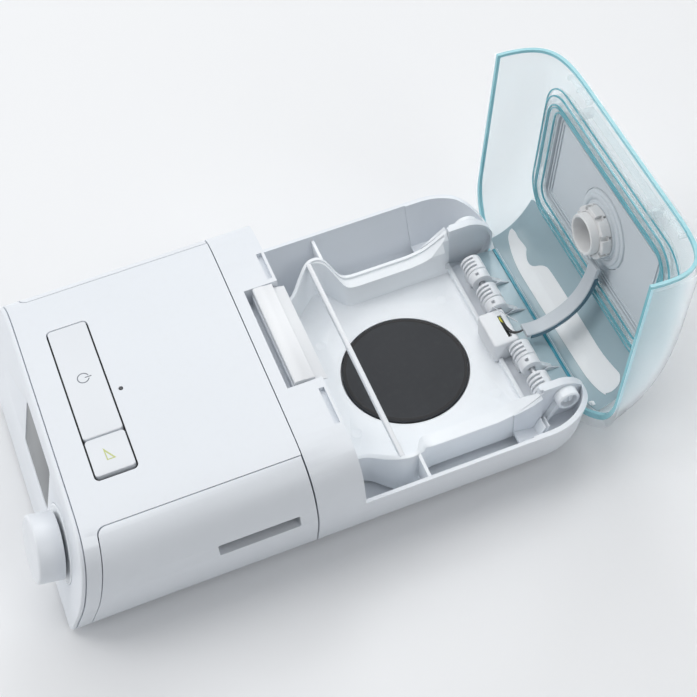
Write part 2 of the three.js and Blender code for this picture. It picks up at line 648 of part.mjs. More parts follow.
function ringWall(out, thick, z0, z1) {
  return prism(ringPlan(out), 'z', z0, z1).subtract(prism(ringPlan(out - thick), 'z', z0 - 1, z1 + 1))
}

const clearFrame = ringWall(0, frame.thick, frame.z0, frame.z1)
  .subtract(prism(ringPlan(-frame.groove), 'z', frame.z0 - 1, frame.z0 + 4))
  .add(ringWall(rib.out, rib.out + 1, rib.web, rib.z1))
  .add(ringWall(rib.out, rib.thick, rib.z0, rib.z1))
addToLid('lid_frame', 'clear', clearFrame)
const sealPlate = prism(ringPlan(-frame.thick - gap), 'z', seal.z0, seal.z1)
  .add(ringWall(-frame.thick - gap, seal.lip, seal.lipZ, seal.z0 + 0.5))
  .subtract(cylinder('z', port.x, port.y, port.flange - 4, 60, 90, 0, 18))
addToLid('lid_seal', 'silicone', sealPlate)

function atPort(body) {
  return body.translate([port.x, port.y, 0])
}

addToLid('port_flange', 'silicone', atPort(lathe([
  [port.outer + gap, 72], [17, 72], [19, 73.5], [port.flange - 5, 74.6], [port.flange - 4.4, 76.4],
  [port.flange - 4.4, 79.8], [port.outer + gap, 79.8], [port.outer + gap, 72],
], 26)))
addToLid('outlet_port', 'white', atPort(lathe([
  [port.bore, port.mouthZ + 0.8], [port.bore + 0.8, port.mouthZ], [port.outer - 0.6, port.mouthZ],
  [port.outer, port.mouthZ + 1], [port.outer, 88], [port.bore, 88], [port.bore, port.mouthZ + 0.8],
], 26)))

function collar() {
  let ring = cylinder('z', port.x, port.y, port.outer + 3.4, 66.4, 71.7, port.outer + gap, 12)
  for (let notch = 0; notch < 6; notch++) {
    const cut = block(port.outer + 1.2, 20, -2, 2, 64, 69.4).rotate([0, 0, notch * 60 + 15])
    ring = ring.subtract(cut.translate([port.x, port.y, 0]))
  }
  return ring
}

addToLid('port_collar', 'white', collar())

// a strip of one thickness along a line of points
function ribbon(points, thick) {
  const side = (sign) => points.map(([u, v], i) => {
    const [u0, v0] = points[Math.max(i - 1, 0)]
    const [u1, v1] = points[Math.min(i + 1, points.length - 1)]
    const reach = (sign * thick) / 2 / Math.hypot(u1 - u0, v1 - v0)
    return [u - (v1 - v0) * reach, v + (u1 - u0) * reach]
  })
  return outline([...side(1), ...side(-1).reverse()])
}

function wireArm() {
  const path = [
    [268.3, 29], [268.8, 36], [266.8, 44], [262.6, 51.6], [257, 57.6], [250, 62.2], [241, 65.4], [233, 66.9],
    [224, 67.6],
  ]
  return prism(ribbon(path, arm.thick), 'x', arm.x - arm.width / 2, arm.x + arm.width / 2)
}

addToLid('wire_arm', 'arm', wireArm())

function lidKnuckle(x0, x1) {
  const wallY = hinge.y + tab.near - gap
  const side = outline([[hinge.y, 20], [wallY, tab.low], [wallY, 42], [hinge.y, 28]])
  const gusset = prism(side, 'x', x0 + 1.6, x1 - 1.6)
  return onHinge(hinge.knuckle, x0, x1, 0, 10).add(gusset).subtract(onHinge(hinge.bore, x0 - 1, x1 + 1))
}

knuckles.forEach(([x0, x1], i) => addToLid(`lid_knuckle_${i + 1}`, 'white', lidKnuckle(x0, x1)))

const catchBar = block(hook.x0, hook.x1, hook.y0, hook.y1, hook.z0, hook.z1)
  .add(block(hook.x0, hook.x0 + hook.thick, hook.y0, hook.tip, hook.low, hook.z1))
  .add(block(hook.x1 - hook.thick, hook.x1, hook.y0, hook.tip, hook.low, hook.z1))
addToLid('lid_catch', 'clear', catchBar)

// outlet elbow on the lid's outside, free to swivel about the port
function elbow() {
  const turn = new THREE.CatmullRomCurve3([
    [0, 0, 96], [0, 0, 99], [0, -2.6, 104], [0, -7.4, 107.6], [0, -13, 109], [0, -17, 109], [0, -24, 109],
  ].map(([x, y, z]) => new THREE.Vector3(x, y, z)))
  const tube = (radius, steps) => solid(new THREE.ExtrudeGeometry(disc(0, 0, radius), {
    steps, bevelEnabled: false, curveSegments: 7, extrudePath: turn,
  }))
  const skirt = cylinder('z', 0, 0, 15.6, 84.6, 97)
  const socket = cylinder('z', 0, 0, port.outer + gap, 80, 88.6)
  const way = cylinder('z', 0, 0, port.bore - 0.5, 86, 98)
  return skirt.add(tube(11.4, 8)).subtract(socket).subtract(way).subtract(tube(9.4, 8))
}
addToLid('outlet_elbow', 'white', atPort(elbow().rotate([0, 0, 200])))

// origin at the centre of the bounding box's base
machine.updateMatrixWorld(true)
const box = new THREE.Box3().setFromObject(machine, true)
machine.position.set(-(box.min.x + box.max.x) / 2, -(box.min.y + box.max.y) / 2, -box.min.z)

const root = new THREE.Group()
root.add(machine)
export default root
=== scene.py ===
import math

import bpy
from mathutils import Matrix, Vector


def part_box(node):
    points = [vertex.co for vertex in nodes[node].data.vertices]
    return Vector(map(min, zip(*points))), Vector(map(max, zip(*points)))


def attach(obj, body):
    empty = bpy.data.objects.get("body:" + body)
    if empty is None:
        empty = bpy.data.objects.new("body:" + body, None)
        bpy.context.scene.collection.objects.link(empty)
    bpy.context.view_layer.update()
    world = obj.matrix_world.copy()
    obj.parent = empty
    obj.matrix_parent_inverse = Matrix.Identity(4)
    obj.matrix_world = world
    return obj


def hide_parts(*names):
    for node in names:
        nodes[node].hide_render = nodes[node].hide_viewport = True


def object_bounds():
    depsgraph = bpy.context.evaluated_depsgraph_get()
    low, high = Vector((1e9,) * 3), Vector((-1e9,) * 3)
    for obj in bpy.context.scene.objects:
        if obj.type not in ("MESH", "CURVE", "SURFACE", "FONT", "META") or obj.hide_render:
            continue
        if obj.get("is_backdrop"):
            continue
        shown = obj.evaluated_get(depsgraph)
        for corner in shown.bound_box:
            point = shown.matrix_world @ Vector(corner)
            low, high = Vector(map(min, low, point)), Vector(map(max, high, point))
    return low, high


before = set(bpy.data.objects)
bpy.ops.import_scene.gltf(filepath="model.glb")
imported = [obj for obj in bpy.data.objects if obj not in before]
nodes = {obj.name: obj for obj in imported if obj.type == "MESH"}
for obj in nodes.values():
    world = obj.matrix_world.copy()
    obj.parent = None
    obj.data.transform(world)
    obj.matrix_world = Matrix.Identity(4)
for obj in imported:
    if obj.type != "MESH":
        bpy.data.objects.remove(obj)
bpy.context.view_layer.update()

# pieces are modelled in millimetres from the top front edge, then brought into the row's metres
layout = {"plateY": 207.5, "mm": 0.001, "near": 1e-3, "smooth": 32}
plateLow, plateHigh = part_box("heater_plate")
shiftY = (plateLow.y + plateHigh.y) / 2 - layout["plateY"] * layout["mm"]
toRow = Matrix.Translation((0, shiftY, 0)) @ Matrix.Scale(layout["mm"], 4)


def at(x, y, z):
    return Matrix.Translation((x, y, z))


def turned(degrees, axis):
    return Matrix.Rotation(math.radians(degrees), 4, axis)


hinge = {"y": 271.3, "z": 22.8, "open": 95.5}
lidTurn = at(0, hinge["y"], hinge["z"]) @ turned(-hinge["open"], "X") @ at(0, -hinge["y"], -hinge["z"])


# outlines
def bezier(a, b, c, d, steps=16):
    points = []
    for i in range(steps + 1):
        t = i / steps
        s = 1 - t
        points.append(tuple(s ** 3 * a[k] + 3 * s * s * t * b[k] + 3 * s * t * t * c[k] + t ** 3 * d[k]
                            for k in range(2)))
    return points


def arc(u, v, radius, start, end, steps=12):
    turns = [math.radians(start + (end - start) * i / steps) for i in range(steps + 1)]
    return [(u + radius * math.cos(t), v + radius * math.sin(t)) for t in turns]


def roundedRect(u0, u1, v0, v1, r, steps=8):
    return (arc(u1 - r, v0 + r, r, -90, 0, steps) + arc(u1 - r, v1 - r, r, 0, 90, steps)
            + arc(u0 + r, v1 - r, r, 90, 180, steps) + arc(u0 + r, v0 + r, r, 180, 270, steps))


def splineThrough(points, steps=6):
    out = []
    last = len(points) - 1
    for i in range(last):
        p0, p1, p2, p3 = points[max(i - 1, 0)], points[i], points[i + 1], points[min(i + 2, last)]
        for j in range(steps):
            t = j / steps
            out.append(tuple(
                (2 * p1[k] - 2 * p2[k] + (p2[k] - p0[k]) / 2 + (p3[k] - p1[k]) / 2) * t ** 3
                + (-3 * p1[k] + 3 * p2[k] - (p2[k] - p0[k]) - (p3[k] - p1[k]) / 2) * t * t
                + (p2[k] - p0[k]) / 2 * t + p1[k] for k in range(len(p1))))
    return out + [tuple(points[-1])]


def withoutDoubles(points):
    out = []
    for p in points:
        if not out or math.dist(p, out[-1]) > layout["near"]:
            out.append(p)
    while math.dist(out[0], out[-1]) < layout["near"]:
        out.pop()
    return out


# modelling steps
def selectOnly(piece):
    bpy.ops.object.select_all(action="DESELECT")
    piece.select_set(True)
    bpy.context.view_layer.objects.active = piece


def started(name, operator, **settings):
    bpy.ops.object.select_all(action="DESELECT")
    operator(**settings)
    piece = bpy.context.object
    piece.name = name
    return piece


def mergeNear():
    bpy.ops.mesh.remove_doubles(threshold=layout["near"])


# each step works on the whole mesh, and the faces are turned outwards after the last one
def worked(piece, *steps):
    bpy.ops.object.mode_set(mode="EDIT")
    for step in steps:
        bpy.ops.mesh.select_all(action="SELECT")
        step()
    bpy.ops.mesh.select_all(action="SELECT")
    bpy.ops.mesh.normals_make_consistent(inside=False)
    bpy.ops.object.mode_set(mode="OBJECT")
    return piece


def outlined(name, points, fill):
    piece = started(name, bpy.ops.mesh.primitive_circle_add, vertices=len(points), radius=1, fill_type=fill)
    for vertex, point in zip(piece.data.vertices, points):
        vertex.co = point
    return piece


def slab(name, outline, axis, start, end):
    lay = {"x": lambda u, v, w: (w, u, v), "y": lambda u, v, w: (u, w, v), "z": lambda u, v, w: (u, v, w)}[axis]
    piece = outlined(name, [lay(u, v, start) for u, v in withoutDoubles(outline)], "NGON")
    push = {"value": lay(0, 0, end - start)}
    return worked(piece, lambda: bpy.ops.mesh.extrude_region_move(TRANSFORM_OT_translate=push))


def brick(name, x0, x1, y0, y1, z0, z1):
    piece = started(name, bpy.ops.mesh.primitive_cube_add, size=1, scale=(x1 - x0, y1 - y0, z1 - z0),
                    location=((x0 + x1) / 2, (y0 + y1) / 2, (z0 + z1) / 2))
    bpy.ops.object.transform_apply(location=True, rotation=True, scale=True)
    return piece


def rod(name, axis, u, v, radius, start, end, sides=48):
    return slab(name, arc(u, v, radius, 0, 360 - 360 / sides, sides - 1), axis, start, end)


def spun(name, profile, steps=72):
    piece = outlined(name, [(r, 0, z) for r, z in withoutDoubles(profile)], "NOTHING")
    sweep = {"steps": steps, "angle": math.tau, "center": (0, 0, 0), "axis": (0, 0, 1)}
    return worked(piece, lambda: bpy.ops.mesh.spin(**sweep), mergeNear)


def lofted(name, sections):
    columns = len(sections[0][1])
    piece = started(name, bpy.ops.mesh.primitive_grid_add, x_subdivisions=columns,
                    y_subdivisions=len(sections) - 1, size=1)
    for row, (z, outline) in enumerate(sections):
        for column, (u, v) in enumerate(outline + outline[:1]):
            piece.data.vertices[row * (columns + 1) + column].co = (u, v, z)
    return worked(piece, mergeNear, lambda: bpy.ops.mesh.fill_holes(sides=0))


def tube(name, path, radius, round=5):
    curve = started(name, bpy.ops.curve.primitive_bezier_curve_add).data
    curve.splines.clear()
    spline = curve.splines.new("POLY")
    spline.points.add(len(path) - 1)
    for point, place in zip(spline.points, path):
        point.co = (*place, 1)
    curve.dimensions = "3D"
    curve.twist_mode = "MINIMUM"
    curve.bevel_depth = radius
    curve.bevel_resolution = round
    curve.use_fill_caps = True
    bpy.ops.object.convert(target="MESH")
    return worked(bpy.context.object, mergeNear)


def copyOf(piece, name):
    twin = piece.copy()
    twin.data = piece.data.copy()
    twin.name = name
    bpy.context.scene.collection.objects.link(twin)
    return twin


def modified(piece, kind, **settings):
    modifier = piece.modifiers.new("shape", kind)
    for key, value in settings.items():
        setattr(modifier, key, value)
    selectOnly(piece)
    bpy.ops.object.modifier_apply(modifier=modifier.name)
    return piece


def combine(piece, tools, operation):
    for tool in tools:
        modified(piece, "BOOLEAN", operation=operation, solver="MANIFOLD", object=tool)
        bpy.data.objects.remove(tool)
    return piece


def carve(piece, *tools):
    return combine(piece, tools, "DIFFERENCE")


def weld(piece, *tools):
    return combine(piece, tools, "UNION")


def meet(piece, *tools):
    return combine(piece, tools, "INTERSECT")


def soften(piece, width, segments=2, angle=38, finishes=()):
    # one finish for the faces and one for the rounded edges
    if finishes:
        piece.data.materials.clear()
        for name in finishes:
            piece.data.materials.append(look[name])
    return modified(piece, "BEVEL", material=1 if finishes else -1, width=width, segments=segments,
                    limit_method="ANGLE", angle_limit=math.radians(angle), use_clamp_overlap=True)


def move(piece, matrix):
    selectOnly(piece)
    piece.matrix_world = matrix @ piece.matrix_world
    bpy.ops.object.transform_apply(location=True, rotation=True, scale=True)
    return piece


def finish(piece, body, material, *replaced, slot=None, place=None, smooth=layout["smooth"]):
    if place is not None:
        move(piece, place)
    move(piece, toRow)
    selectOnly(piece)
    bpy.ops.object.shade_smooth_by_angle(angle=math.radians(smooth))
    if not any(piece.data.materials):
        piece.data.materials.clear()
        piece.data.materials.append(look[material])
    slot = slot or slots[material]
    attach(piece, body)
    if replaced:
        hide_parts(*replaced)
    return piece


# shared effects
def setInputs(node, values):
    for socket, value in values.items():
        node.inputs[socket].default_value = value


def addNode(tree, kind, x, y, values=None, **settings):
    node = tree.nodes.new("ShaderNode" + kind)
    node.location = (x, y)
    for key, value in settings.items():
        setattr(node, key, value)
    setInputs(node, values or {})
    return node


def join(tree, *links):
    for start, output, end, socket in links:
        tree.links.new(start.outputs[output], end.inputs[socket])


def groupOf(name, inputs, outputs):
    group = bpy.data.node_groups.new(name, "ShaderNodeTree")
    for label, value in inputs.items():
        socket = group.interface.new_socket(name=label, in_out="INPUT", socket_type="NodeSocketFloat")
        socket.default_value = value
    for label in outputs:
        group.interface.new_socket(name=label, in_out="OUTPUT", socket_type="NodeSocketFloat")
    inlet, outlet = group.nodes.new("NodeGroupInput"), group.nodes.new("NodeGroupOutput")
    inlet.location, outlet.location = (-800, 0), (500, 0)
    return group, inlet, outlet, addNode(group, "TexCoord", -800, -200)


def mouldGrainGroup():
    group, inlet, outlet, place = groupOf("mouldGrain", {"Grain": 900.0, "Mottle": 9.0}, ("Height", "Mottle"))
    fine = addNode(group, "TexNoise", -400, 120, {"Detail": 3.0})
    pits = addNode(group, "TexVoronoi", -400, -120, feature="SMOOTH_F1")
    blend = addNode(group, "Math", -100, 80, {1: 0.6}, operation="MULTIPLY_ADD")
    coarse = addNode(group, "TexNoise", -400, -380, {"Detail": 4.0, "Roughness": 0.55})
    join(group, *[(place, "Object", texture, "Vector") for texture in (fine, pits, coarse)],
         (inlet, "Grain", fine, "Scale"), (inlet, "Grain", pits, "Scale"), (inlet, "Mottle", coarse, "Scale"),
         (pits, "Distance", blend, 0), (fine, "Fac", blend, 2), (blend, 0, outlet, "Height"),
         (coarse, "Fac", outlet, "Mottle"))
    return group


def drawnLinesGroup():
    group, inlet, outlet, place = groupOf("drawnLines", {"Along": 20.0, "Across": 1500.0}, ("Lines",))
    size = addNode(group, "CombineXYZ", -500, 60)
    stretch = addNode(group, "VectorMath", -300, 0, operation="MULTIPLY")
    lines = addNode(group, "TexNoise", -60, 0, {"Scale": 1.0, "Detail": 2.0})
    join(group, (inlet, "Along", size, "X"), (inlet, "Across", size, "Y"), (inlet, "Across", size, "Z"),
         (place, "Object", stretch, 0), (size, "Vector", stretch, 1), (stretch, "Vector", lines, "Vector"),
         (lines, "Fac", outlet, "Lines"))
    return group


def restingDustGroup():
    group, inlet, outlet, place = groupOf("restingDust", {"Amount": 0.2, "Speck": 260.0}, ("Dust",))
    surface = addNode(group, "NewGeometry", -800, -460)
    upward = addNode(group, "SeparateXYZ", -600, -460)
    facing = addNode(group, "MapRange", -400, -420, {"From Min": 0.5})
    speck = addNode(group, "TexNoise", -500, -100, {"Detail": 6.0})
    sieve = addNode(group, "MapRange", -260, -100, {"From Min": 0.52, "From Max": 0.78})
    both = addNode(group, "Math", 0, -120, operation="MULTIPLY")
    measured = addNode(group, "Math", 220, -40, operation="MULTIPLY")
    join(group, (surface, "Normal", upward, "Vector"), (upward, "Z", facing, "Value"),
         (place, "Object", speck, "Vector"), (inlet, "Speck", speck, "Scale"), (speck, "Fac", sieve, "Value"),
         (sieve, "Result", both, 0), (facing, "Result", both, 1), (both, 0, measured, 0),
         (inlet, "Amount", measured, 1), (measured, 0, outlet, "Dust"))
    return group


mouldGrain = mouldGrainGroup()
drawnLines = drawnLinesGroup()
restingDust = restingDustGroup()


# finishes
def shaderOf(name, look):
    material = bpy.data.materials.new(name)
    material.use_nodes = True
    material.diffuse_color = (*look["colour"], 1)
    tree = material.node_tree
    shader = tree.nodes["Principled BSDF"]
    shader.location = (300, 100)
    tree.nodes["Material Output"].location = (620, 100)
    setInputs(shader, {"IOR": look.get("ior", 1.46), "Metallic": look.get("metal", 0.0),
                       "Coat Weight": look.get("coat", 0.0), "Coat Roughness": 0.1,
                       "Transmission Weight": look.get("clear", 0.0), "Alpha": look.get("alpha", 1.0)})
    return material, tree, shader


def twoTones(tree, look, x=-300):
    return addNode(tree, "Mix", x, 260, {"A": (*look["colour"], 1), "B": (*look["deep"], 1)},
                   data_type="RGBA")


# gloss and relief that follow a pattern's outputs
def textured(tree, shader, look, gloss, height, bump, depth):
    sheen = addNode(tree, "MapRange", -300, -20,
        {"To Min": look["rough"][0], "To Max": look["rough"][1]})
    relief = addNode(tree, "Bump", 20, -200, {"Strength": bump, "Distance": depth})
    join(tree, (*gloss, sheen, "Value"), (sheen, "Result", shader, "Roughness"), (*height, relief, "Height"),
         (relief, "Normal", shader, "Normal"))


def grained(tree, look):
    return addNode(tree, "Group", -700, 0, node_tree=mouldGrain,
                   values={"Grain": look["grain"], "Mottle": look["mottle"]})


def moulded(name, look):
    material, tree, shader = shaderOf(name, look)
    grain, tone = grained(tree, look), twoTones(tree, look)
    spread = addNode(tree, "MapRange", -500, 240, {"From Min": 0.3, "From Max": 0.7})
    textured(tree, shader, look, (grain, "Mottle"), (grain, "Height"), look["bump"], 0.00004)
    join(tree, (grain, "Mottle", spread, "Value"), (spread, "Result", tone, "Factor"))
    colour = tone
    if "dust" in look:
        dust = addNode(tree, "Group", -300, 520, {"Amount": look["dust"], "Speck": 260.0},
                       node_tree=restingDust)
        colour = addNode(tree, "Mix", 0, 380, {"B": (0.62, 0.61, 0.59, 1)}, data_type="RGBA")
        join(tree, (dust, "Dust", colour, "Factor"), (tone, "Result", colour, "A"))
    join(tree, (colour, "Result", shader, "Base Color"))
    return material


def drawnMetal(name, look):
    material, tree, shader = shaderOf(name, look)
    lines = addNode(tree, "Group", -600, 0, node_tree=drawnLines,
                    values={"Along": look["along"], "Across": look["across"]})
    tone = twoTones(tree, look)
    textured(tree, shader, look, (lines, "Lines"), (lines, "Lines"), 0.15, 0.00003)
    join(tree, (lines, "Lines", tone, "Factor"), (tone, "Result", shader, "Base Color"))
    return material


def clearPlastic(name, look):
    material, tree, shader = shaderOf(name, look)
    grain, tone = grained(tree, look), twoTones(tree, look)
    textured(tree, shader, look, (grain, "Mottle"), (grain, "Mottle"), look["bump"], 0.00002)
    join(tree, (grain, "Mottle", tone, "Factor"), (tone, "Result", shader, "Base Color"))
    return material


def openFoam(name, look):
    material, tree, shader = shaderOf(name, look)
    shader.inputs["Roughness"].default_value = 0.95
    place = addNode(tree, "TexCoord", -900, 0)
    cells = addNode(tree, "TexVoronoi", -640, 60, {"Scale": 700.0})
    ramp = addNode(tree, "ValToRGB", -400, 120)
    ramp.color_ramp.elements[0].color = (*look["deep"], 1)
    ramp.color_ramp.elements[1].color = (*look["colour"], 1)
    ramp.color_ramp.elements[1].position = 0.6
    bump = addNode(tree, "Bump", -100, -200, {"Strength": 0.8, "Distance": 0.0006})
    join(tree, (place, "Object", cells, "Vector"), (cells, "Distance", ramp, "Fac"),
         (cells, "Distance", bump, "Height"), (ramp, "Color", shader, "Base Color"),
         (bump, "Normal", shader, "Normal"))
    return material


def solderMask(name, look):
    material, tree, shader = shaderOf(name, look)
    shader.inputs["Roughness"].default_value = 0.35
    place = addNode(tree, "TexCoord", -900, 0)
    tracks = addNode(tree, "TexBrick", -640, 60,
                     {"Scale": 90.0, "Mortar Size": 0.03, "Color1": (*look["colour"], 1),
                      "Color2": (*look["deep"], 1), "Mortar": (0.16, 0.36, 0.18, 1)})
    bump = addNode(tree, "Bump", -100, -200, {"Strength": 0.4, "Distance": 0.00008})
    join(tree, (place, "Object", tracks, "Vector"), (tracks, "Fac", bump, "Height"),
         (tracks, "Color", shader, "Base Color"), (bump, "Normal", shader, "Normal"))
    return material


def plastic(colour, deep, rough, grain, mottle, bump, **more):
    return {"colour": colour, "deep": deep, "rough": rough, "grain": grain, "mottle": mottle, "bump": bump,
        **more}


finishes = {
    "shellWhite": plastic((0.80, 0.835, 0.88), (0.775, 0.81, 0.855), (0.34, 0.44), 1400, 7, 0.12, dust=0.05),
    "keyWhite": plastic((0.79, 0.82, 0.86), (0.77, 0.80, 0.84), (0.26, 0.34), 1600, 12, 0.06),
    "bayWhite": plastic((0.91, 0.94, 0.97), (0.89, 0.925, 0.96), (0.36, 0.46), 1200, 10, 0.1, dust=0.06),
    "trimWhite": plastic((0.84, 0.86, 0.885), (0.81, 0.83, 0.86), (0.28, 0.38), 1500, 14, 0.07),
    "portWhite": plastic((0.78, 0.785, 0.79), (0.74, 0.745, 0.75), (0.34, 0.44), 1500, 14, 0.08),
    "armGreyFinShade": plastic((0.60, 0.64, 0.68), (0.57, 0.61, 0.65), (0.42, 0.52), 1100, 18, 0.14),
    "armShadeAndTeal": plastic((0.10, 0.19, 0.25), (0.07, 0.14, 0.19), (0.25, 0.35), 1200, 20, 0.08),
    "siliconeGrey": plastic((0.62, 0.67, 0.71), (0.59, 0.64, 0.68), (0.5, 0.6), 800, 16, 0.12, dust=0.08),
    "sealDark": plastic((0.10, 0.105, 0.115), (0.08, 0.085, 0.09), (0.6, 0.75), 700, 16, 0.2),
    "plateBlack": plastic((0.044, 0.046, 0.051), (0.038, 0.040, 0.044), (0.44, 0.54), 1500, 22, 0.16,
        dust=0.01, ior=1.22),
    "rimBlack": plastic((0.012, 0.012, 0.014), (0.009, 0.009, 0.010), (0.36, 0.46), 1300, 22, 0.1, ior=1.3),
    "mouldedDark": plastic((0.030, 0.031, 0.034), (0.024, 0.025, 0.028), (0.45, 0.6), 900, 16, 0.2),
    "screenGrey": plastic((0.26, 0.27, 0.28), (0.24, 0.25, 0.26), (0.34, 0.42), 2000, 8, 0.02, ior=1.25),
    "lensDark": plastic((0.035, 0.038, 0.045), (0.03, 0.032, 0.04), (0.08, 0.14), 2000, 8, 0.02),
    "symbolGrey": plastic((0.17, 0.19, 0.22), (0.15, 0.17, 0.20), (0.4, 0.5), 2000, 30, 0.05),
    "symbolLime": plastic((0.55, 0.60, 0.24), (0.50, 0.55, 0.22), (0.4, 0.5), 2000, 30, 0.05),
    "wireYellow": plastic((0.62, 0.60, 0.06), (0.55, 0.52, 0.05), (0.4, 0.5), 1500, 30, 0.1),
    "footRubber": plastic((0.10, 0.105, 0.11), (0.085, 0.09, 0.095), (0.7, 0.85), 600, 18, 0.3),
    # grey-blue for the lid's rear wall and flap: partly the clear plastic's tint, partly painted shade
    "tintAndShadeBlue": plastic((0.44, 0.56, 0.61), (0.38, 0.50, 0.55), (0.16, 0.24), 1200, 9, 0.05, coat=0.3),
    "padWhite": plastic((0.96, 0.97, 0.98), (0.94, 0.955, 0.97), (0.24, 0.32), 1400, 9, 0.05),
    "coverWhite": plastic((0.985, 0.99, 1.0), (0.97, 0.98, 0.99), (0.66, 0.74), 1400, 7, 0.06,
        clear=0.9, ior=1.06),
}
clearFinishes = {
    "clearBlue": plastic((0.70, 0.90, 0.94), (0.66, 0.88, 0.92), (0.02, 0.05), 600, 12, 0.04, alpha=0.13),
    "clearRim": plastic((0.14, 0.52, 0.61), (0.52, 0.85, 0.91), (0.05, 0.10), 600, 26, 0.04, alpha=0.9),
    "clearEdge": plastic((0.01, 0.16, 0.24), (0.05, 0.34, 0.44), (0.08, 0.14), 600, 22, 0.04),
    "clearLine": plastic((0.03, 0.27, 0.35), (0.30, 0.70, 0.79), (0.06, 0.12), 600, 30, 0.04, alpha=0.85),
    "clearRidge": plastic((0.88, 0.96, 0.98), (0.80, 0.92, 0.955), (0.04, 0.09), 600, 9, 0.03, alpha=0.22),
}
look = {name: moulded(name, settings) for name, settings in finishes.items()}
look.update({name: clearPlastic(name, settings) for name, settings in clearFinishes.items()})
look["steel"] = drawnMetal("steel", {"colour": (0.56, 0.57, 0.59), "deep": (0.44, 0.45, 0.47), "metal": 1.0,
        "rough": (0.24, 0.4), "along": 60.0, "across": 2400.0})
look["filterFoam"] = openFoam("filterFoam", {"colour": (0.30, 0.34, 0.38), "deep": (0.10, 0.12, 0.14)})
look["boardGreen"] = solderMask("boardGreen", {"colour": (0.03, 0.16, 0.08), "deep": (0.024, 0.13, 0.065)})

# the slot that each finish goes to
slotsOf = {"shell_white": ("shellWhite", "coverWhite", "padWhite"), "bay_white": ("bayWhite",),
    "trim_white": ("keyWhite", "trimWhite", "portWhite"), "arm_grey": ("armGreyFinShade",),
    "clear_blue": ("clearBlue", "clearRim", "clearEdge", "clearLine", "clearRidge", "tintAndShadeBlue", "armShadeAndTeal"),
    "silicone_grey": ("siliconeGrey",), "plate_black": ("plateBlack", "rimBlack"),
    "moulded_dark": ("mouldedDark", "symbolGrey", "wireYellow"), "display_grey": ("screenGrey", "symbolLime"),
    "foot_rubber": ("footRubber",), "lens_dark": ("lensDark",)}
slots = {name: slot for slot, names in slotsOf.items() for name in names}
print("finishes ready")

carried = {
    "display_module": "mouldedDark", "dial_plunger": "steel", "dial_encoder": "mouldedDark",
    "button_seal": "sealDark", "pollen_filter": "filterFoam", "sd_socket": "steel", "sd_card": "mouldedDark",
    "blower_housing": "bayWhite", "blower_impeller": "mouldedDark", "blower_motor": "steel",
    "main_board": "boardGreen", "outlet_duct": "siliconeGrey", "link_connector": "mouldedDark",
    "humidifier_base": "bayWhite", "heater_element": "mouldedDark", "heater_spring": "steel",
    "air_inlet": "siliconeGrey", "power_inlet": "mouldedDark", "hinge_rod_left": "steel",
    "hinge_rod_right": "steel",
}
for name in nodes:
    nodes[name].data.materials.clear()
    nodes[name].data.materials.append(look[carried.get(name, "bayWhite")])

# from beyond one side of the machine to beyond the other
across = (-120, 120)

# body section, shared by the unit and the humidifier
body = {"half": 94, "top": 84, "sole": 2.5, "soleHalf": 78, "lean": 21, "wall": 2.2, "panel": 2.5, "gap": 0.3,
        "seamY": 120, "seamGap": 0.6, "split": 30}


def bodySection(inset=0):
    side, foot = body["half"] - inset, body["soleHalf"] - inset
    low, high = body["sole"] + inset, body["top"] - inset
    right = (bezier((foot, low), (foot + 4, low), (84 - inset, low + 3), (86 - inset, low + 10))
             + bezier((86 - inset, low + 10), (90 - inset, 27), (side, 38), (side, 50))
             + bezier((side, 50), (side, 70), (88 - inset, high - 2.6), (70 - inset, high - 0.8), 24)
             + bezier((70 - inset, high - 0.8), (67.3 - inset, high - 0.27), (58, high), (50, high), 8))
    return right + [(-u, v) for u, v in reversed(right)]


def reachAt(profile, height):
    reach = 0
    for (u0, v0), (u1, v1) in zip(profile, profile[1:]):
        if min(v0, v1) <= height <= max(v0, v1):
            t = 0 if v0 == v1 else (height - v0) / (v1 - v0)
            reach = max(reach, u0 + (u1 - u0) * t)
    return reach


def halfAt(inset, z):
    right = [p for p in bodySection(inset) if p[0] > 0]
    return reachAt(right, min(max(z, body["sole"] + inset + 0.01), body["top"] - inset - 0.01))


# what a form with two round rear corners covers at one height
def cornerPlan(half, rear, r):
    x, y = half - r, rear - r
    beyond, front = 110, 100
    corners = arc(x, y, r, 0, 90, 24) + arc(-x, y, r, 90, 180, 24)
    return [(-beyond, front), (beyond, front), (beyond, y)] + corners + [(-beyond, y)]


def bodyBar(name, inset, y0, y1):
    return slab(name, bodySection(inset), "y", y0, y1)


def faceY(z):
    return -body["lean"] * (body["top"] - z) / (body["top"] - body["sole"])


def aheadOfFace(offset):
    low, high = -10, 100
    outline = [(-90, low), (faceY(low) + offset, low), (faceY(high) + offset, high), (-90, high)]
    return slab("face", outline, "x", *across)


def faceSlab(near, far):
    return carve(aheadOfFace(far), aheadOfFace(near))


# therapy unit: case, front panel and the two side covers
strip = {"x0": -51.3, "x1": 48.8, "split": 25, "y0": 18.6, "y1": 40.3, "proud": 0.6, "gap": 0.9, "endGap": 2.3,
         "keySplit": 0.45}
display = {"x0": -21, "x1": 28, "z0": 38, "z1": 73}
door = {"near": 76, "far": 80, "inset": 11, "z0": 7, "slotY": (65.5, 110.5), "slotZ": (44.6, 54.6), "corner": 5,
        "hood": 4.6}
airPort = {"x": -30, "z": 32, "radius": 11}


def doorRegion(side, grow):
    near = (door["near"] if side > 0 else door["far"]) - grow
    low = door["z0"] - grow
    x0, x1 = sorted((side * near, side * 120))
    region = carve(brick("region", x0, x1, -40, body["seamY"] + 1, low, body["top"] + 10),
                   aheadOfFace(door["inset"] - grow))
    r = door["corner"]
    front = faceY(80) + door["inset"] - grow
    middle = side * (near + r)
    edges = sorted((side * (near - 1), middle))
    corner = carve(brick("corner", edges[0], edges[1], front - 3, front + r, 68, 100),
                   rod("round", "z", middle, front + r, r, 60, 110))
    return carve(region, corner)


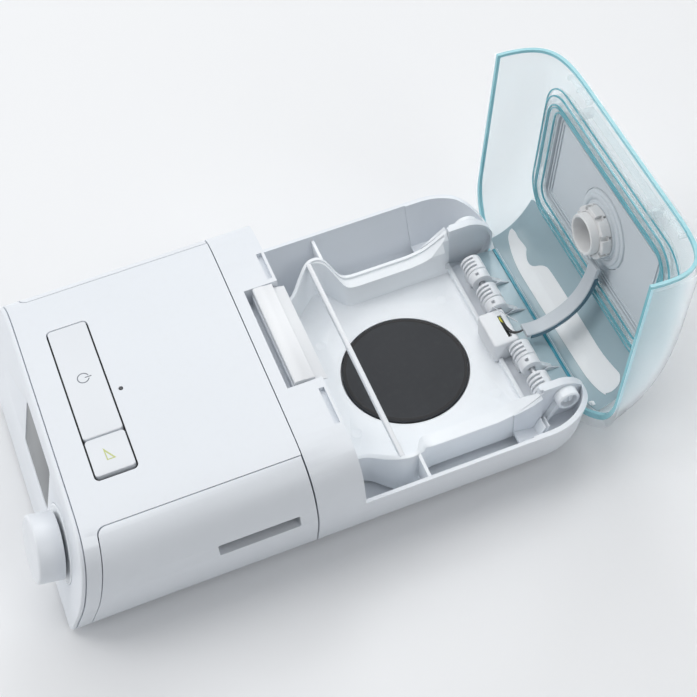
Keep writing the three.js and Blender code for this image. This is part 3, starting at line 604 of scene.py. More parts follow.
def caseBody():
    gap, wall, seam = body["gap"], body["wall"], body["seamY"]
    outer = carve(bodyBar("case", 0, -40, seam), aheadOfFace(body["panel"] + gap))
    case = carve(copyOf(outer, "unitCase"), bodyBar("hollow", wall, -60, seam - wall))
    for side in (1, -1):
        carve(case, doorRegion(side, gap))
        wallX = sorted((side * 70.5, side * 72.7))
        sill = sorted((side * 70.5, side * 120))
        weld(case,
             meet(brick("sideWall", *wallX, -30, seam, body["sole"], body["top"]), copyOf(outer, "outer")),
             meet(brick("frontEnd", *sill, -40, seam, 0, 90), faceSlab(door["inset"] - 3, door["inset"] - 0.9),
                  copyOf(outer, "outer")),
             meet(brick("rearEnd", *sill, seam - wall, seam, 0, 90), bodyBar("inside", wall + 0.4, -60, seam)))
    bpy.data.objects.remove(outer)
    reach = strip["gap"]
    opening = roundedRect(strip["x0"] - reach, strip["x1"] + strip["endGap"], strip["y0"] - reach,
                          strip["y1"] + reach, 3)
    return carve(case, slab("keyOpening", opening, "z", 76, 90), rod("sensorHole", "z", 0, 46, 1.3, 76, 90, 24),
        rod("airHole", "y", airPort["x"], airPort["z"], airPort["radius"] + 0.4, seam - 5, seam + 5),
        brick("plugHole", 20, 44, seam - 5, seam + 5, 44, 56), brick("filterHole", 68, 74.5, 56, 106, 20, 60),
        brick("cardHole", 68, 74.5, 24, 52, 66, 72))


caseWhole = caseBody()
split = body["split"]
caseTop = meet(copyOf(caseWhole, "unitTop"), brick("above", *across, -60, 140, split + 0.15, 100))
caseLow = meet(caseWhole, brick("below", *across, -60, 140, -5, split - 0.15))
finish(soften(caseTop, 0.3), "base", "shellWhite", "upper_case")
caseLow.name = "unitBottom"
finish(soften(caseLow, 0.3), "base", "shellWhite", "lower_case")

dial = {"x": 55, "z": 46, "radius": 18.5, "top": 16, "recess": 22}
faceTilt = math.pi / 2 - math.atan2(body["lean"], body["top"] - body["sole"])
dialPlace = at(dial["x"], faceY(dial["z"]), dial["z"]) @ Matrix.Rotation(faceTilt, 4, "X")

panel = meet(bodyBar("frontPanel", 0, -60, 60), faceSlab(0, body["panel"]))
soften(panel, 1.1, 3)
carve(panel,
      slab("window", roundedRect(display["x0"], display["x1"], display["z0"], display["z1"], 3), "y", -60, 60),
      move(rod("recess", "z", 0, 0, dial["recess"], -1, 20, 72), dialPlace),
      move(rod("shaftHole", "z", 0, 0, 5, -20, 20), dialPlace))
finish(soften(panel, 0.2, 2, 60), "base", "shellWhite", "front_panel")

pane = roundedRect(display["x0"] + 0.3, display["x1"] - 0.3, display["z0"] + 0.3, display["z1"] - 0.3, 2.8)
screen = meet(slab("displayWindow", pane, "y", -60, 60), faceSlab(0.4, 2))
finish(soften(screen, 0.2), "base", "screenGrey", "display_window")

filterDoor = meet(carve(bodyBar("filterDoor", 0, -40, body["seamY"] - body["gap"]),
                        bodyBar("hollow", body["wall"], -50, body["seamY"] + 5)), doorRegion(1, -body["gap"]))
slotY, slotZ, wall = door["slotY"], door["slotZ"], body["wall"]
hood = slab("hood", roundedRect(slotY[0] - wall, slotY[1] + wall, slotZ[0] - wall, slotZ[1] + wall, 2.4), "x",
            body["half"] - wall - door["hood"], body["half"])
weld(filterDoor, meet(hood, bodyBar("within", 1, -40, body["seamY"])))
carve(filterDoor, slab("slot", roundedRect(*slotY, *slotZ, 1.2), "x", 60, 120))
finish(soften(filterDoor, 0.2), "door", "shellWhite", "filter_door")
slotShade = brick("slotShade", 88.2, 88.9, slotY[0] - 0.4, slotY[1] + 0.4, slotZ[0] + 3.4, slotZ[1] + 0.4)
finish(soften(slotShade, 0.15), "door", "mouldedDark")
sideCover = meet(carve(bodyBar("sideCover", 0, -40, body["seamY"] - body["gap"]),
                       bodyBar("hollow", body["wall"], -50, body["seamY"] + 5)), doorRegion(-1, -body["gap"]))
finish(soften(sideCover, 0.2), "cover", "shellWhite", "side_cover")
print("unit case ready")

# dial, its recess ring, the two keys and the light sensor
r, top = dial["radius"], dial["top"]
knobProfile = ([(0, 9.4), (3.6, 9.4), (3.6, 2), (6.2, 2), (6.2, 12), (16.3, 12), (16.3, 2)]
               + arc(r - 0.4, 2.4, 0.4, -90, 0, 3) + arc(r - 1.8, top - 1.8, 1.8, 0, 90, 7)
               + [(6, top - 0.25), (0, top - 0.35)])
finish(spun("controlDial", knobProfile, 96), "dial", "keyWhite", "control_dial", place=dialPlace)
ringProfile = [(5.6, -0.7), (21.7, -0.7), (21.7, 0.15), (21.4, 0.3), (20.6, 0.3), (20.2, 0.05), (8, 0.05),
    (7.6, 0.3), (5.6, 0.3)]
finish(spun("dialRing", ringProfile, 96), "base", "bayWhite", "dial_ring", place=dialPlace)


def keyCap(name, x0, x1):
    cap = slab(name, roundedRect(x0, x1, strip["y0"], strip["y1"], 2), "z", 80.4, body["top"] + strip["proud"])
    return soften(cap, 0.55, 3, 50)


therapyKey = keyCap("therapyKey", strip["x0"], strip["split"] - strip["keySplit"])
finish(therapyKey, "therapy_key", "keyWhite", "therapy_button")
rampKey = keyCap("rampKey", strip["split"] + strip["keySplit"], strip["x1"])
finish(rampKey, "ramp_key", "keyWhite", "ramp_button")

symbol = {"x": -14, "y": 29.2, "radius": 3.1, "line": 0.55, "low": 84.5, "high": 84.66}
onRing = carve(rod("standbyRing", "z", symbol["x"], symbol["y"], symbol["radius"] + symbol["line"] / 2,
                   symbol["low"], symbol["high"]),
               rod("inner", "z", symbol["x"], symbol["y"], symbol["radius"] - symbol["line"] / 2, 80, 90),
               brick("mouth", symbol["x"] - 1, symbol["x"] + 1, symbol["y"] + 1.4, symbol["y"] + 5, 80, 90))
weld(onRing, brick("stroke", symbol["x"] - symbol["line"] / 2, symbol["x"] + symbol["line"] / 2,
                   symbol["y"] + 0.9, symbol["y"] + 4.6, symbol["low"], symbol["high"]))
finish(onRing, "therapy_key", "symbolGrey")
wedge = [(33, 26.6), (41, 31.8), (41, 26.9)]
wedgeIn = [(35.6, 27.3), (40.4, 30.4), (40.4, 27.5)]
rampMark = carve(slab("rampMark", wedge, "z", symbol["low"], symbol["high"]),
                 slab("inner", wedgeIn, "z", 80, 90))
finish(rampMark, "ramp_key", "symbolLime")
lens = spun("lightSensor", [(0, 81), (1.1, 81), (1.1, 83.8), (0.85, 84), (0, 84)], 24)
finish(lens, "base", "lensDark", "light_sensor", place=at(0, 46, 0))
print("dial and keys ready")

# humidifier case and the bay inside it
humid = {"rear": 291.9, "corner": 36, "footCorner": 24, "rim": 43, "bridgeEnd": 147, "lobeR": 20.6,
    "inner": 61.2, "outer": 66, "bed": 10.4, "trayEnd": 262, "bowlRim": 3, "bowlY": 246, "bowlZ": 14}
well = {"y0": 127.4, "channel": 131.4, "floor": 78.5, "deep": 71, "shell": 2.2, "slotY": (142.4, 145.4),
    "slotFloor": 80.9}
latch = {"half": 34.3, "y0": 132, "y1": 143.4, "tongueY": 150.2, "z0": 78.8, "top": 85.2, "tongueTop": 79.6}
inlet = {"y": 134, "z": 26, "radius": 5}


def rearPlan(name, inset):
    sections = []
    for z in (0, 2.5, 3, 4, 5, 6.5, 8, 10, 12.5, 15, 18, 22.8, 27, 31, 35, 39, 43, 50, 90):
        below = max(hinge["z"] - z, 0)
        reach = humid["lobeR"] - inset
        rear = hinge["y"] + math.sqrt(max(reach ** 2 - below ** 2, 0))
        grown = min(max(z - 2.5, 0) / 20.3, 1)
        r = humid["footCorner"] + (humid["corner"] - humid["footCorner"]) * grown - inset
        sections.append((z, cornerPlan(halfAt(inset, z), rear, r)))
    return lofted(name, sections)


def roundEnd(radius):
    return weld(brick("ahead", *across, 0, hinge["y"], -5, 100),
                rod("end", "x", hinge["y"], hinge["z"], radius, *across, 96))


def within(name, inset, y0):
    return meet(bodyBar(name, inset, y0, humid["rear"]), rearPlan("plan", inset))


def lobeBowl(side, grow):
    behind, beside = humid["outer"] - grow, humid["outer"] + body["wall"] + body["gap"] - grow
    low = humid["bowlZ"] - grow
    return weld(
        brick("bowl", *sorted((side * behind, side * 120)), humid["trayEnd"] + body["gap"], humid["rear"], low,
              100),
        brick("beside", *sorted((side * beside, side * 120)), humid["bowlY"], humid["trayEnd"] + 1, low, 100))


def humidifierShell():
    start = body["seamY"] + body["seamGap"]
    wall, rear, gap = body["wall"], humid["rear"], body["gap"]
    outer = meet(within("outer", 0, start), roundEnd(humid["lobeR"]))
    bayHollow = meet(within("bayHollow", wall, humid["bridgeEnd"]), roundEnd(humid["lobeR"] - wall))
    half = latch["half"] + 1.2
    front, lip = well["y0"] - well["shell"], well["shell"]
    top, sole, inner, bayEnd = body["top"], body["sole"] + 1, humid["inner"], humid["trayEnd"] + gap
    pan = meet(weld(
        brick("pan", -half - 2, half + 2, front, humid["bridgeEnd"] - 0.1, well["floor"] - lip, top),
        brick("deep", -half - 2, half + 2, front, well["channel"] + lip, well["deep"] - lip, top)),
        copyOf(outer, "within"))
    bed = brick("bed", -inner, inner, bayEnd, rear, sole, humid["bed"])
    cheeks = carve(brick("cheeks", -humid["outer"], humid["outer"], bayEnd, rear, sole, humid["rim"]),
                   brick("between", -inner, inner, 0, 300, 0, 100))
    bowls = [carve(lobeBowl(side, wall), brick("aboveRim", *across, 0, 300, humid["rim"], 110))
             for side in (1, -1)]
    hingeEnd = meet(weld(bed, cheeks, *bowls), copyOf(outer, "within"))
    slotBeds = meet(weld(brick("slotBeds", -60, -37, 140.4, 146.8, 79, 90),
            brick("slotBed", 40.4, 68, 140.4, 146.8, 79, 90)), copyOf(outer, "within"))
    shell = carve(outer, bodyBar("bridgeHollow", wall, start + wall, humid["bridgeEnd"] - wall), bayHollow,
                  brick("aboveRim", *across, humid["bridgeEnd"], 300, humid["rim"], 100))
    weld(shell, pan, hingeEnd, slotBeds)
    rise = splineThrough([(240, 29), (246, 30.4), (255, 35), (264, 41)]) + [(264, 60), (240, 60)]
    fair = ((66.4, 243), (69, 243), (69, 258), (68.6, 258))
    return carve(shell, brick("well", -half, half, well["y0"], latch["tongueY"], well["floor"], 100),
        brick("channel", -half, half, well["y0"], well["channel"], well["deep"], 100),
        brick("leftSlot", -58, -38.5, *well["slotY"], well["slotFloor"], 100),
        brick("rightSlot", 42, 66, *well["slotY"], well["slotFloor"], 100),
        *[slab("trough", rise, "x", *sorted((side * 64.8, side * 68.6))) for side in (1, -1)],
        *[slab("fair", [(side * x, y) for x, y in fair], "z", 14, 50) for side in (1, -1)],
        *[meet(lobeBowl(side, 0), within("space", humid["bowlRim"], humid["bridgeEnd"])) for side in (1, -1)],
        rod("farDish", "x", hinge["y"] + 2, hinge["z"] + 0.6, 16.4, -64.4, -60, 96),
        brick("hingeBay", -inner, inner, bayEnd, 300, humid["bed"], 60),
        brick("under", -60, 60, 150, 261, 0, 6),
        rod("airHole", "y", airPort["x"], airPort["z"], airPort["radius"] + 0.4, start - 5,
            humid["bridgeEnd"] + 5),
        rod("powerHole", "x", inlet["y"], inlet["z"], inlet["radius"] + gap, -100, -80))


shell = humidifierShell()
shell.name = "humidifierShell"
finish(soften(shell, 0.8, 3), "base", "shellWhite", "humidifier_case")

# what sits in the two bowls: a recessed pivot boss on one side, a capped one on the other
boss = {"y": 277, "z": 33.6, "radius": 6.8, "near": 66.1}
bossProfile = [(0, 0), (boss["radius"], 0), (boss["radius"], 5.3), (boss["radius"] - 0.7, 6), (5.3, 6),
    (4.9, 5.6), (4.9, 2.4), (3.3, 2.2), (3.1, 3.9), (2.6, 4.3), (0, 4.3)]
atBoss = at(boss["near"], boss["y"], boss["z"]) @ turned(90, "Y")
pivotBoss = move(spun("pivotBoss", bossProfile, 64), atBoss)
carve(pivotBoss, brick("driveSlot", 69.4, 72, boss["y"] - 0.5, boss["y"] + 0.5, boss["z"] - 3, boss["z"] + 3))
weld(pivotBoss, slab("web", [(262.4, 14.2), (264.6, 14.2), (273.4, 28), (270.6, 30.6)], "x", 66.1, 69.4))
finish(soften(pivotBoss, 0.25), "base", "bayWhite")
for i, y in enumerate((257.6, 260)):
    bowlRib = slab(f"bowlRib{i + 1}", [(y, 14.1), (y + 0.8, 14.1), (y + 4.2, 22), (y + 3.4, 22)], "x", 68.6, 76)
    finish(soften(bowlRib, 0.2), "base", "bayWhite")
capProfile = [(0, 0), (8.3, 0), (8.3, 2.2), (7.7, 2.8), (6.8, 2.8), (6.4, 2.4), (0, 2.2)]
atCap = at(-66.1, boss["y"] - 1.6, boss["z"] + 1.1) @ turned(-90, "Y")
finish(move(spun("pivotCap", capProfile, 64), atCap), "base", "bayWhite")

tray = {"rim": 66, "y0": 149.3, "y1": 262, "high": 42, "floor0": 8.3, "floor1": 10.1,
        "lip": 1.4, "lipWide": 2.0}


def trayWallPlan(inset=0):
    edge = splineThrough([(58 - inset, 149.3 + inset), (58.5 - inset, 154), (62 - inset, 161 + inset * 0.6),
            (70 - inset * 0.6, 169 + inset), (75 - inset, 175.5 + inset * 0.4), (76 - inset, 182),
            (73 - inset * 0.8, 188 - inset * 0.4), (67 - inset, 193 - inset * 0.3), (66 - inset, 200)], 8)
    right = [(0, tray["y0"] + inset)] + edge + [(tray["rim"] - inset, tray["y1"] - inset),
        (0, tray["y1"] - inset)]
    return right + [(-x, y) for x, y in reversed(right[1:-1])]


def trayHollowPlan():
    edge = splineThrough([(56, 151.5), (56.5, 155), (60, 162.5), (68, 170.5), (72.6, 176), (73, 181), (70, 186),
                          (62, 190.5), (57.8, 194), (57, 200)], 6)
    right = [(0, 151.5)] + edge + [(57, 259.8), (0, 259.8)]
    return right + [(-x, y) for x, y in reversed(right[1:-1])]


def trayTopCut(drop=0):
    top = splineThrough([(140, 29), (152, 30), (163, 34), (174, 41), (180, 42), (186, 40), (194, 30),
            (202, 28)], 10)
    back = splineThrough([(236, 28), (246, 30), (255, 35), (264, 41), (270, 42)], 8)
    line = [(y, z - drop) for y, z in top + back]
    return slab("topCut", line + [(285, 42 - drop), (285, 90), (130, 90), (130, 29 - drop)], "x", -100, 100)


box = {"x0": -8, "x1": 17, "y0": 257, "y1": 273, "top": 26.5}
plate = {"y": 207.5, "radius": 37.4, "z0": 9.2, "thick": 1.8}
liner = carve(
    slab("bayLiner", trayWallPlan(), "z", tray["floor0"], tray["high"]),
    slab("hollow", trayHollowPlan(), "z", tray["floor1"], 60),
    trayTopCut(),
    brick("rearStep", -61, 61, 258, 266, tray["floor1"] + 4, 60),
    rod("plateHole", "z", 0, plate["y"], plate["radius"] + 0.8, 0, 20, 96),
    rod("airHole", "y", airPort["x"], airPort["z"], 9, 144, 158),
    brick("boxHole", box["x0"] - 0.4, box["x1"] + 0.4, box["y0"] - 0.4, 280, tray["floor1"] + 0.6, 40))
carve(liner, meet(slab("inside", trayWallPlan(tray["lipWide"]), "z", 20, 60), trayTopCut(tray["lip"])))
for side in (1, -1):
    slant = [(side * 55.8, 28.1), (side * 65.2, 41.6), (side * 65.2, 70), (side * 40, 70), (side * 40, 28.1)]
    carve(liner, slab("slant", slant, "y", 232, 262.6))
    edges = sorted((side * 74.5, side * 90.6))
    weld(liner, meet(brick("fin", *edges, 184.4, 186.2, 20, 40), bodyBar("inside", 2.5, 147, 290)))
# moulding marks on the floor
for x, y in ((-39.2, 247.4), (36, 249), (30, 165), (-36, 168)):
    profile = [(0, 9.9), (3.5, 9.9), (3.5, 10.13), (3.35, 10.17), (3.1, 10.17), (2.95, 10.12), (0, 10.12)]
    weld(liner, move(spun("mark", profile, 32), at(x, y, 0)))
finish(soften(liner, 0.5, 2), "base", "bayWhite", "tank_bay_liner")

crossBar = brick("crossBar", -73.4, 73.4, 174.8, 177.8, 38, 42)
finish(soften(crossBar, 0.7, 3), "base", "trimWhite", "cross_bar")

r, top = plate["radius"], plate["z0"] + plate["thick"]
plateProfile = [(0, plate["z0"]), (r, plate["z0"]), (r, top - 0.75), (r - 0.3, top - 0.25),
    (r - 0.8, top - 0.05), (r - 1.3, top - 0.02), (r - 1.5, top - 0.2), (r - 1.9, top - 0.2), (r - 2.1, top),
    (0, top)]
heater = spun("heaterPlate", plateProfile, 128)
band = spun("plateBand", [(r - 2.6, top - 0.03), (r - 0.9, top - 0.03), (r - 0.9, top + 0.03),
        (r - 1.1, top + 0.05), (r - 2.4, top + 0.05), (r - 2.6, top + 0.03)], 128)
finish(band, "heater", "rimBlack", place=at(0, plate["y"], 0))
finish(heater, "heater", "plateBlack", "heater_plate", place=at(0, plate["y"], 0))

latchSide = [(latch["y0"], latch["z0"]), (latch["tongueY"], latch["z0"]),
    (latch["tongueY"], latch["tongueTop"] - 0.4), (latch["y1"] + 0.3, latch["tongueTop"] + 1.2),
    (latch["y1"], latch["top"] - 0.9), (latch["y0"] + 6.5, latch["top"] - 0.5),
    (latch["y0"] + 5.6, latch["top"]), (latch["y0"] + 0.8, latch["top"]), (latch["y0"], latch["top"] - 0.8)]
latchBar = slab("lidLatch", latchSide, "x", -latch["half"], latch["half"])
finish(soften(latchBar, 0.4, 2), "latch", "trimWhite", "lid_latch")
print("humidifier ready")

# hinge row: one ribbed barrel, copied, with the box for the wires between
barrels = [(-50, -39), (-27, -16), (19, 30), (43, 54)]
barrelProfile = [(2.2, 0), (6.1, 0), (6.5, 0.4), (6.5, 10.6), (6.1, 11), (2.2, 11)]
onAxis = at(0, hinge["y"], hinge["z"]) @ turned(90, "Y")
firstBarrel = move(spun("hingeBarrel", barrelProfile, 48), onAxis)
for x in (1.9, 4.8, 7.7):
    groove = move(spun("groove", [(3.4, x), (8, x), (8, x + 1.5), (3.4, x + 1.5)], 48), onAxis)
    carve(firstBarrel, meet(groove, brick("frontHalf", -1, 12, hinge["y"] - 10, hinge["y"] + 0.6, 0, 60)))
weld(firstBarrel, carve(brick("post", 1, 10, hinge["y"] - 4, hinge["y"] + 3, humid["bed"] + 0.3, hinge["z"]),
                        rod("bore", "x", hinge["y"], hinge["z"], 2.2, -5, 20)))
for i, (x0, x1) in enumerate(barrels):
    barrel = copyOf(firstBarrel, f"hingeBarrel{i + 1}")
    finish(soften(barrel, 0.2), "base", "trimWhite", f"hinge_barrel_{i + 1}", place=at(x0, 0, 0))
bpy.data.objects.remove(firstBarrel)

wireBox = slab("wireBox", roundedRect(box["x0"], box["x1"], box["y0"], box["y1"], 2), "z", humid["bed"] + 0.3,
    box["top"])
carve(soften(wireBox, 1.2, 3), brick("slot", -3.2, 13.4, 267.5, 269.9, 21, 40))
finish(soften(brick("slotFloor", -3.1, 13.3, 267.6, 269.8, 21.1, 24.2), 0.2), "base", "mouldedDark")
finish(wireBox, "base", "trimWhite", "wire_box")
wirePath = [(-2.2, 268.6, 24.6), (2, 268.4, 26.0), (7, 268.8, 26.4), (11, 270.2, 26.6), (12.6, 273, 26.9),
    (12.8, 276, 27.2)]
wires = tube("linkWires", splineThrough(wirePath, 6), 0.5, 3)
weld(wires, tube("second", splineThrough([(x - 0.4, y + 1.0, z - 0.2) for x, y, z in wirePath], 6), 0.5, 3))
finish(wires, "base", "mouldedDark", "link_wires")
yellow = tube("yellowWire", splineThrough([(-2.4, 268.9, 25.4), (-0.8, 268.4, 26.3), (1.2, 268.6, 26.2),
            (3, 269, 25.4)], 6), 0.55, 3)
finish(yellow, "base", "wireYellow")

for i, (x, y) in enumerate([(-62, -4), (62, -4), (-66, 250), (66, 250)]):
    foot = spun(f"foot{i + 1}", [(0, 0.5), (4.4, 0.5), (4.7, 0), (5.6, 0), (6, 0.4), (6, 2.2), (0, 2.2)], 40)
    finish(foot, "base", "footRubber", f"foot_{i + 1}", place=at(x, y, 0))
print("hinge row ready")

# lid, drawn closed about its hinge line and turned open at the end
lid = {"y0": 147.4, "y1": 288.5, "z0": 44.3, "coverIn": 1.6, "cover": 2, "linerOuter": 2.3, "linerInner": 3.6,
       "lobeGap": 0.8, "rim": 1.9, "cornerGrows": 32}
tab = {"half": 60.4, "near": 7.6, "far": 9.8, "low": 27, "shelf": 46.6}
port = {"x": 2, "y": 207.5, "outer": 12.2, "flange": 28}


def lidSide(inset, front, low):
    back = lid["y1"] - inset
    high = body["top"] - inset
    rearCurve = bezier((back, 48), (back, 68), (264 - inset * 0.6, high), (226, high), 24)
    return [(front, low), (back, low)] + rearCurve + [(front, high)]


def lidPlan(name, inset):
    side = lidSide(inset, 100, 0)
    sections = []
    for z in [0, 44.3, 45, 46, 47.5, 49, 51, 53, *range(55, 75, 2), *[74.5 + i for i in range(10)], 120]:
        level = min(z, body["top"] - inset - 0.02)
        rise = min(max(level + inset - lid["z0"], 0) / (body["top"] - lid["z0"]), 1)
        half = halfAt(inset, level)
        r = min(humid["corner"] + lid["cornerGrows"] * rise ** 0.6 - inset, half - 1)
        sections.append((z, cornerPlan(half, reachAt(side, level), r)))
    return lofted(name, sections)


def lidForm(name, inset, front, low):
    return meet(bodyBar(name, inset, front, 300), slab("side", lidSide(inset, front, low), "x", *across),
                lidPlan("plan", inset))


def openBelow(grow=0):
    return weld(brick("openBelow", *across, 100, hinge["y"], 0, lid["z0"] + grow),
        brick("rearBelow", *across, hinge["y"] - 1, 300, 0, 34),
        rod("lobes", "x", hinge["y"], hinge["z"], humid["lobeR"] + lid["lobeGap"] + grow, *across, 96))


def lidShell(name, outside, inside, front):
    return carve(lidForm(name, outside, front, 20), lidForm("inside", inside, 120, 0), openBelow(),
                 rod("portHole", "z", port["x"], port["y"], port["outer"] + 0.3, 40, 100))


def finishOnLid(piece, material, *replaced, **settings):
    return finish(piece, "lid", material, *replaced, place=lidTurn, **settings)


cover = lidShell("lidCover", 0, lid["cover"], lid["y0"] + lid["coverIn"])
weld(cover,
     brick("step", -tab["half"], tab["half"], hinge["y"] + tab["near"], lid["y1"] - 1, lid["z0"], tab["shelf"]),
     brick("flap", -tab["half"], tab["half"], hinge["y"] + tab["near"], hinge["y"] + tab["far"], tab["low"],
           tab["shelf"]))
finishOnLid(soften(cover, 0.4), "coverWhite", "lid_cover")


def awayFromRim():
    grow = lid["rim"]
    return carve(brick("away", *across, lid["y0"] + grow, 300, 0, 120), openBelow(grow))


def stepRoom():
    return brick("stepRoom", -tab["half"] - 0.3, tab["half"] + 0.3, 262, lid["y1"] - lid["cover"], 30,
                 tab["shelf"] + 0.3)


clearLid = meet(carve(lidShell("clearLid", lid["linerOuter"], lid["linerInner"], lid["y0"]), stepRoom()),
    awayFromRim())
finishOnLid(clearLid, "clearBlue", "lid_liner")
rim = carve(lidShell("clearRim", lid["linerOuter"] - 0.1, lid["linerInner"] + 0.5, lid["y0"]), stepRoom(),
    awayFromRim())
finishOnLid(soften(rim, 0.5, finishes=("clearRim", "clearEdge")), "clearRim")

# the rear wall inside: a grey-blue panel, partly the clear plastic's tint and partly painted shade, a long pale
# pad on it and the clear bar along its foot
rearPanel = meet(carve(lidForm("rearPanel", lid["linerInner"] + 0.05, 120, 0),
                       lidForm("inside", lid["linerInner"] + 0.35, 110, -5)),
                 brick("rearOnly", -69, 74, 251.5, 295, 46.8, 90))
carve(rearPanel, openBelow(lid["rim"]))
finishOnLid(rearPanel, "tintAndShadeBlue")
padOutline = [(-67.1, 59), (-63.7, 60.3), (-60.5, 60.7), (-52.8, 62.5), (-49.9, 61.6), (-46.2, 60.6),
    (-42.6, 60.7), (-39.7, 62.1), (-37.5, 64.6), (-34.1, 66.6), (-28.6, 67.4), (-7.3, 67.7), (30.6, 67.7),
    (56.1, 67.1), (62.8, 65.6), (66.2, 62.9), (66.5, 59.3), (64.6, 57.1), (60.8, 56.1), (9.2, 54.7),
    (-37.8, 53.9), (-60.8, 55.2), (-66.3, 57)]
pad = meet(carve(lidForm("rearPad", lid["linerInner"] + 0.4, 120, 0),
        lidForm("inside", lid["linerInner"] + 0.75, 110, -5)),
    slab("padPlan", splineThrough(padOutline + padOutline[:1], 4), "y", 262, 295))
finishOnLid(pad, "padWhite")
skinY = hinge["y"] + tab["near"]
# painted shade: a grey-blue sheet over the white flap, where the flap lies in shadow
flapShade = brick("flapShade", -60.2, 60.2, skinY - 0.2, skinY + 0.3, tab["low"] + 0.3, tab["shelf"] - 0.4)
finishOnLid(soften(flapShade, 0.1), "tintAndShadeBlue")
cornerBlock = weld(brick("cornerBlock", 64, 70, 279.6, 283.6, 47, 49.6),
    brick("peg", 65.6, 68.2, 277.6, 283, 47.4, 49.2))
finishOnLid(soften(cornerBlock, 0.5), "padWhite")
cornerRib = tube("cornerRib", splineThrough([(66, 280.6, 49), (73, 279, 49.4), (80, 274.4, 49.8),
            (84.4, 268, 50)]), 1.1, 4)
finishOnLid(cornerRib, "clearRidge")
footBar = brick("footBar", -60.2, 60.2, skinY - 0.9, skinY + 0.2, 43.2, 45)
finishOnLid(soften(footBar, 0.3), "clearEdge")
print("lid shells ready")

ring = {"half": 68, "y0": 165, "y1": 246, "corner": 14, "z0": 69.6, "z1": 78.6}


def ringPlan(grow):
    return roundedRect(-ring["half"] - grow, ring["half"] + grow, ring["y0"] - grow, ring["y1"] + grow,
                       ring["corner"] + grow, 14)


def ringWall(name, out, thick, z0, z1):
    return carve(slab(name, ringPlan(out), "z", z0, z1),
        slab("inside", ringPlan(out - thick), "z", z0 - 5, z1 + 5))


def clearPiece(piece, width, *replaced):
    meet(piece, lidForm("inside", lid["linerInner"], 120, 0))
    soften(piece, width, finishes=("clearRidge", "clearLine"))
    finishOnLid(piece, "clearRidge", *replaced)


clearPiece(weld(ringWall("lidFrame", 0, 1.5, ring["z0"], ring["z1"]), ringWall("mid", -1.2, 4.4, 74.2, 75.6),
                ringWall("inner", -4.1, 1.5, 71.4, ring["z1"])), 0.4, "lid_frame")
clearPiece(weld(ringWall("frameRib", 5, 1.1, 70.6, 77.2), ringWall("web", 5, 6, 76, 77.2)), 0.3)
# out from the ring, thickness, foot and top of each
ridges = ((0.15, 0.8, 69.4, 70.2), (-4.8, 0.9, 71.2, 72), (5.15, 0.8, 70.4, 71.2), (-1.4, 0.6, 69.5, 70.1))
ridgeLines = [ringWall(f"ridgeLine{i + 1}", *sizes) for i, sizes in enumerate(ridges)]
ridgeLines.append(carve(
    slab("ridgeLine5", roundedRect(-78.2, 78.2, 159.4, 253.6, 20.2, 14), "z", 73.8, 74.4),
    slab("inside", roundedRect(-77.4, 77.4, 160.2, 252.8, 19.4, 14), "z", 70, 80)))
for line in ridgeLines:
    meet(line, lidForm("inside", lid["linerInner"], 120, 0))
    finishOnLid(line, "clearLine")
outlineRib = carve(slab("outlineRib", roundedRect(-78, 78, 159.6, 253.4, 20, 14), "z", 74, 75.6),
                   slab("inside", roundedRect(-77.1, 77.1, 160.5, 252.5, 19.1, 14), "z", 70, 80))
clearPiece(outlineRib, 0.2)

sealPlate = carve(slab("lidSeal", ringPlan(-5.9), "z", 75, 77),
                  rod("portRoom", "z", port["x"], port["y"], port["flange"] - 4, 60, 90, 96))
finishOnLid(sealPlate, "siliconeGrey", "lid_seal", smooth=20)
for i, (out, thick, low) in enumerate(((-5.9, 1.6, 73), (-8.8, 1.2, 74), (-11.4, 1.2, 74.2))):
    lip = soften(ringWall(f"sealLip{i + 1}", out, thick, low, 75), 0.3)
    finishOnLid(lip, "siliconeGrey")

atPort = at(port["x"], port["y"], 0)
flangeProfile = [(12.5, 72), (15.4, 72), (16.2, 72.4), (16.6, 73.3), (18.0, 73.6), (18.4, 72.9), (19.0, 72.7),
    (20.4, 72.7), (21, 73.0), (21.4, 73.8), (22.4, 74.0), (23.2, 74.3), (23.6, 75), (23.6, 79.8), (12.5, 79.8)]
finishOnLid(move(spun("portFlange", flangeProfile, 96), atPort), "siliconeGrey", "port_flange")
portProfile = [(10, 61.8), (10.3, 61.2), (10.8, 61), (11.6, 61), (12, 61.3), (12.2, 62), (12.2, 88), (10, 88)]
finishOnLid(move(spun("outletPort", portProfile, 96), atPort), "portWhite", "outlet_port")
collar = spun("portCollar", [(12.5, 66.0), (15.2, 66.0), (15.6, 66.4), (15.6, 71.7), (12.5, 71.7)], 72)
for i in range(8):
    around = turned(45 * i + 15, "Z")
    notch = move(brick("notch", 13.2, 20, -1.6, 1.6, 64, 69.8), around)
    pin = move(rod("pin", "x", 0, 70.9, 0.8, 13.6, 20, 16), around)
    carve(collar, notch, pin)
finishOnLid(move(soften(collar, 0.25), atPort), "portWhite", "port_collar")


def ribbon(path, thick):
    sides = []
    for sign in (1, -1):
        side = []
        for i, (u, v) in enumerate(path):
            u0, v0 = path[max(i - 1, 0)]
            u1, v1 = path[min(i + 1, len(path) - 1)]
            reach = sign * thick / 2 / math.hypot(u1 - u0, v1 - v0)
            side.append((u - (v1 - v0) * reach, v + (u1 - u0) * reach))
        sides.append(side)
    return sides[0] + sides[1][::-1]


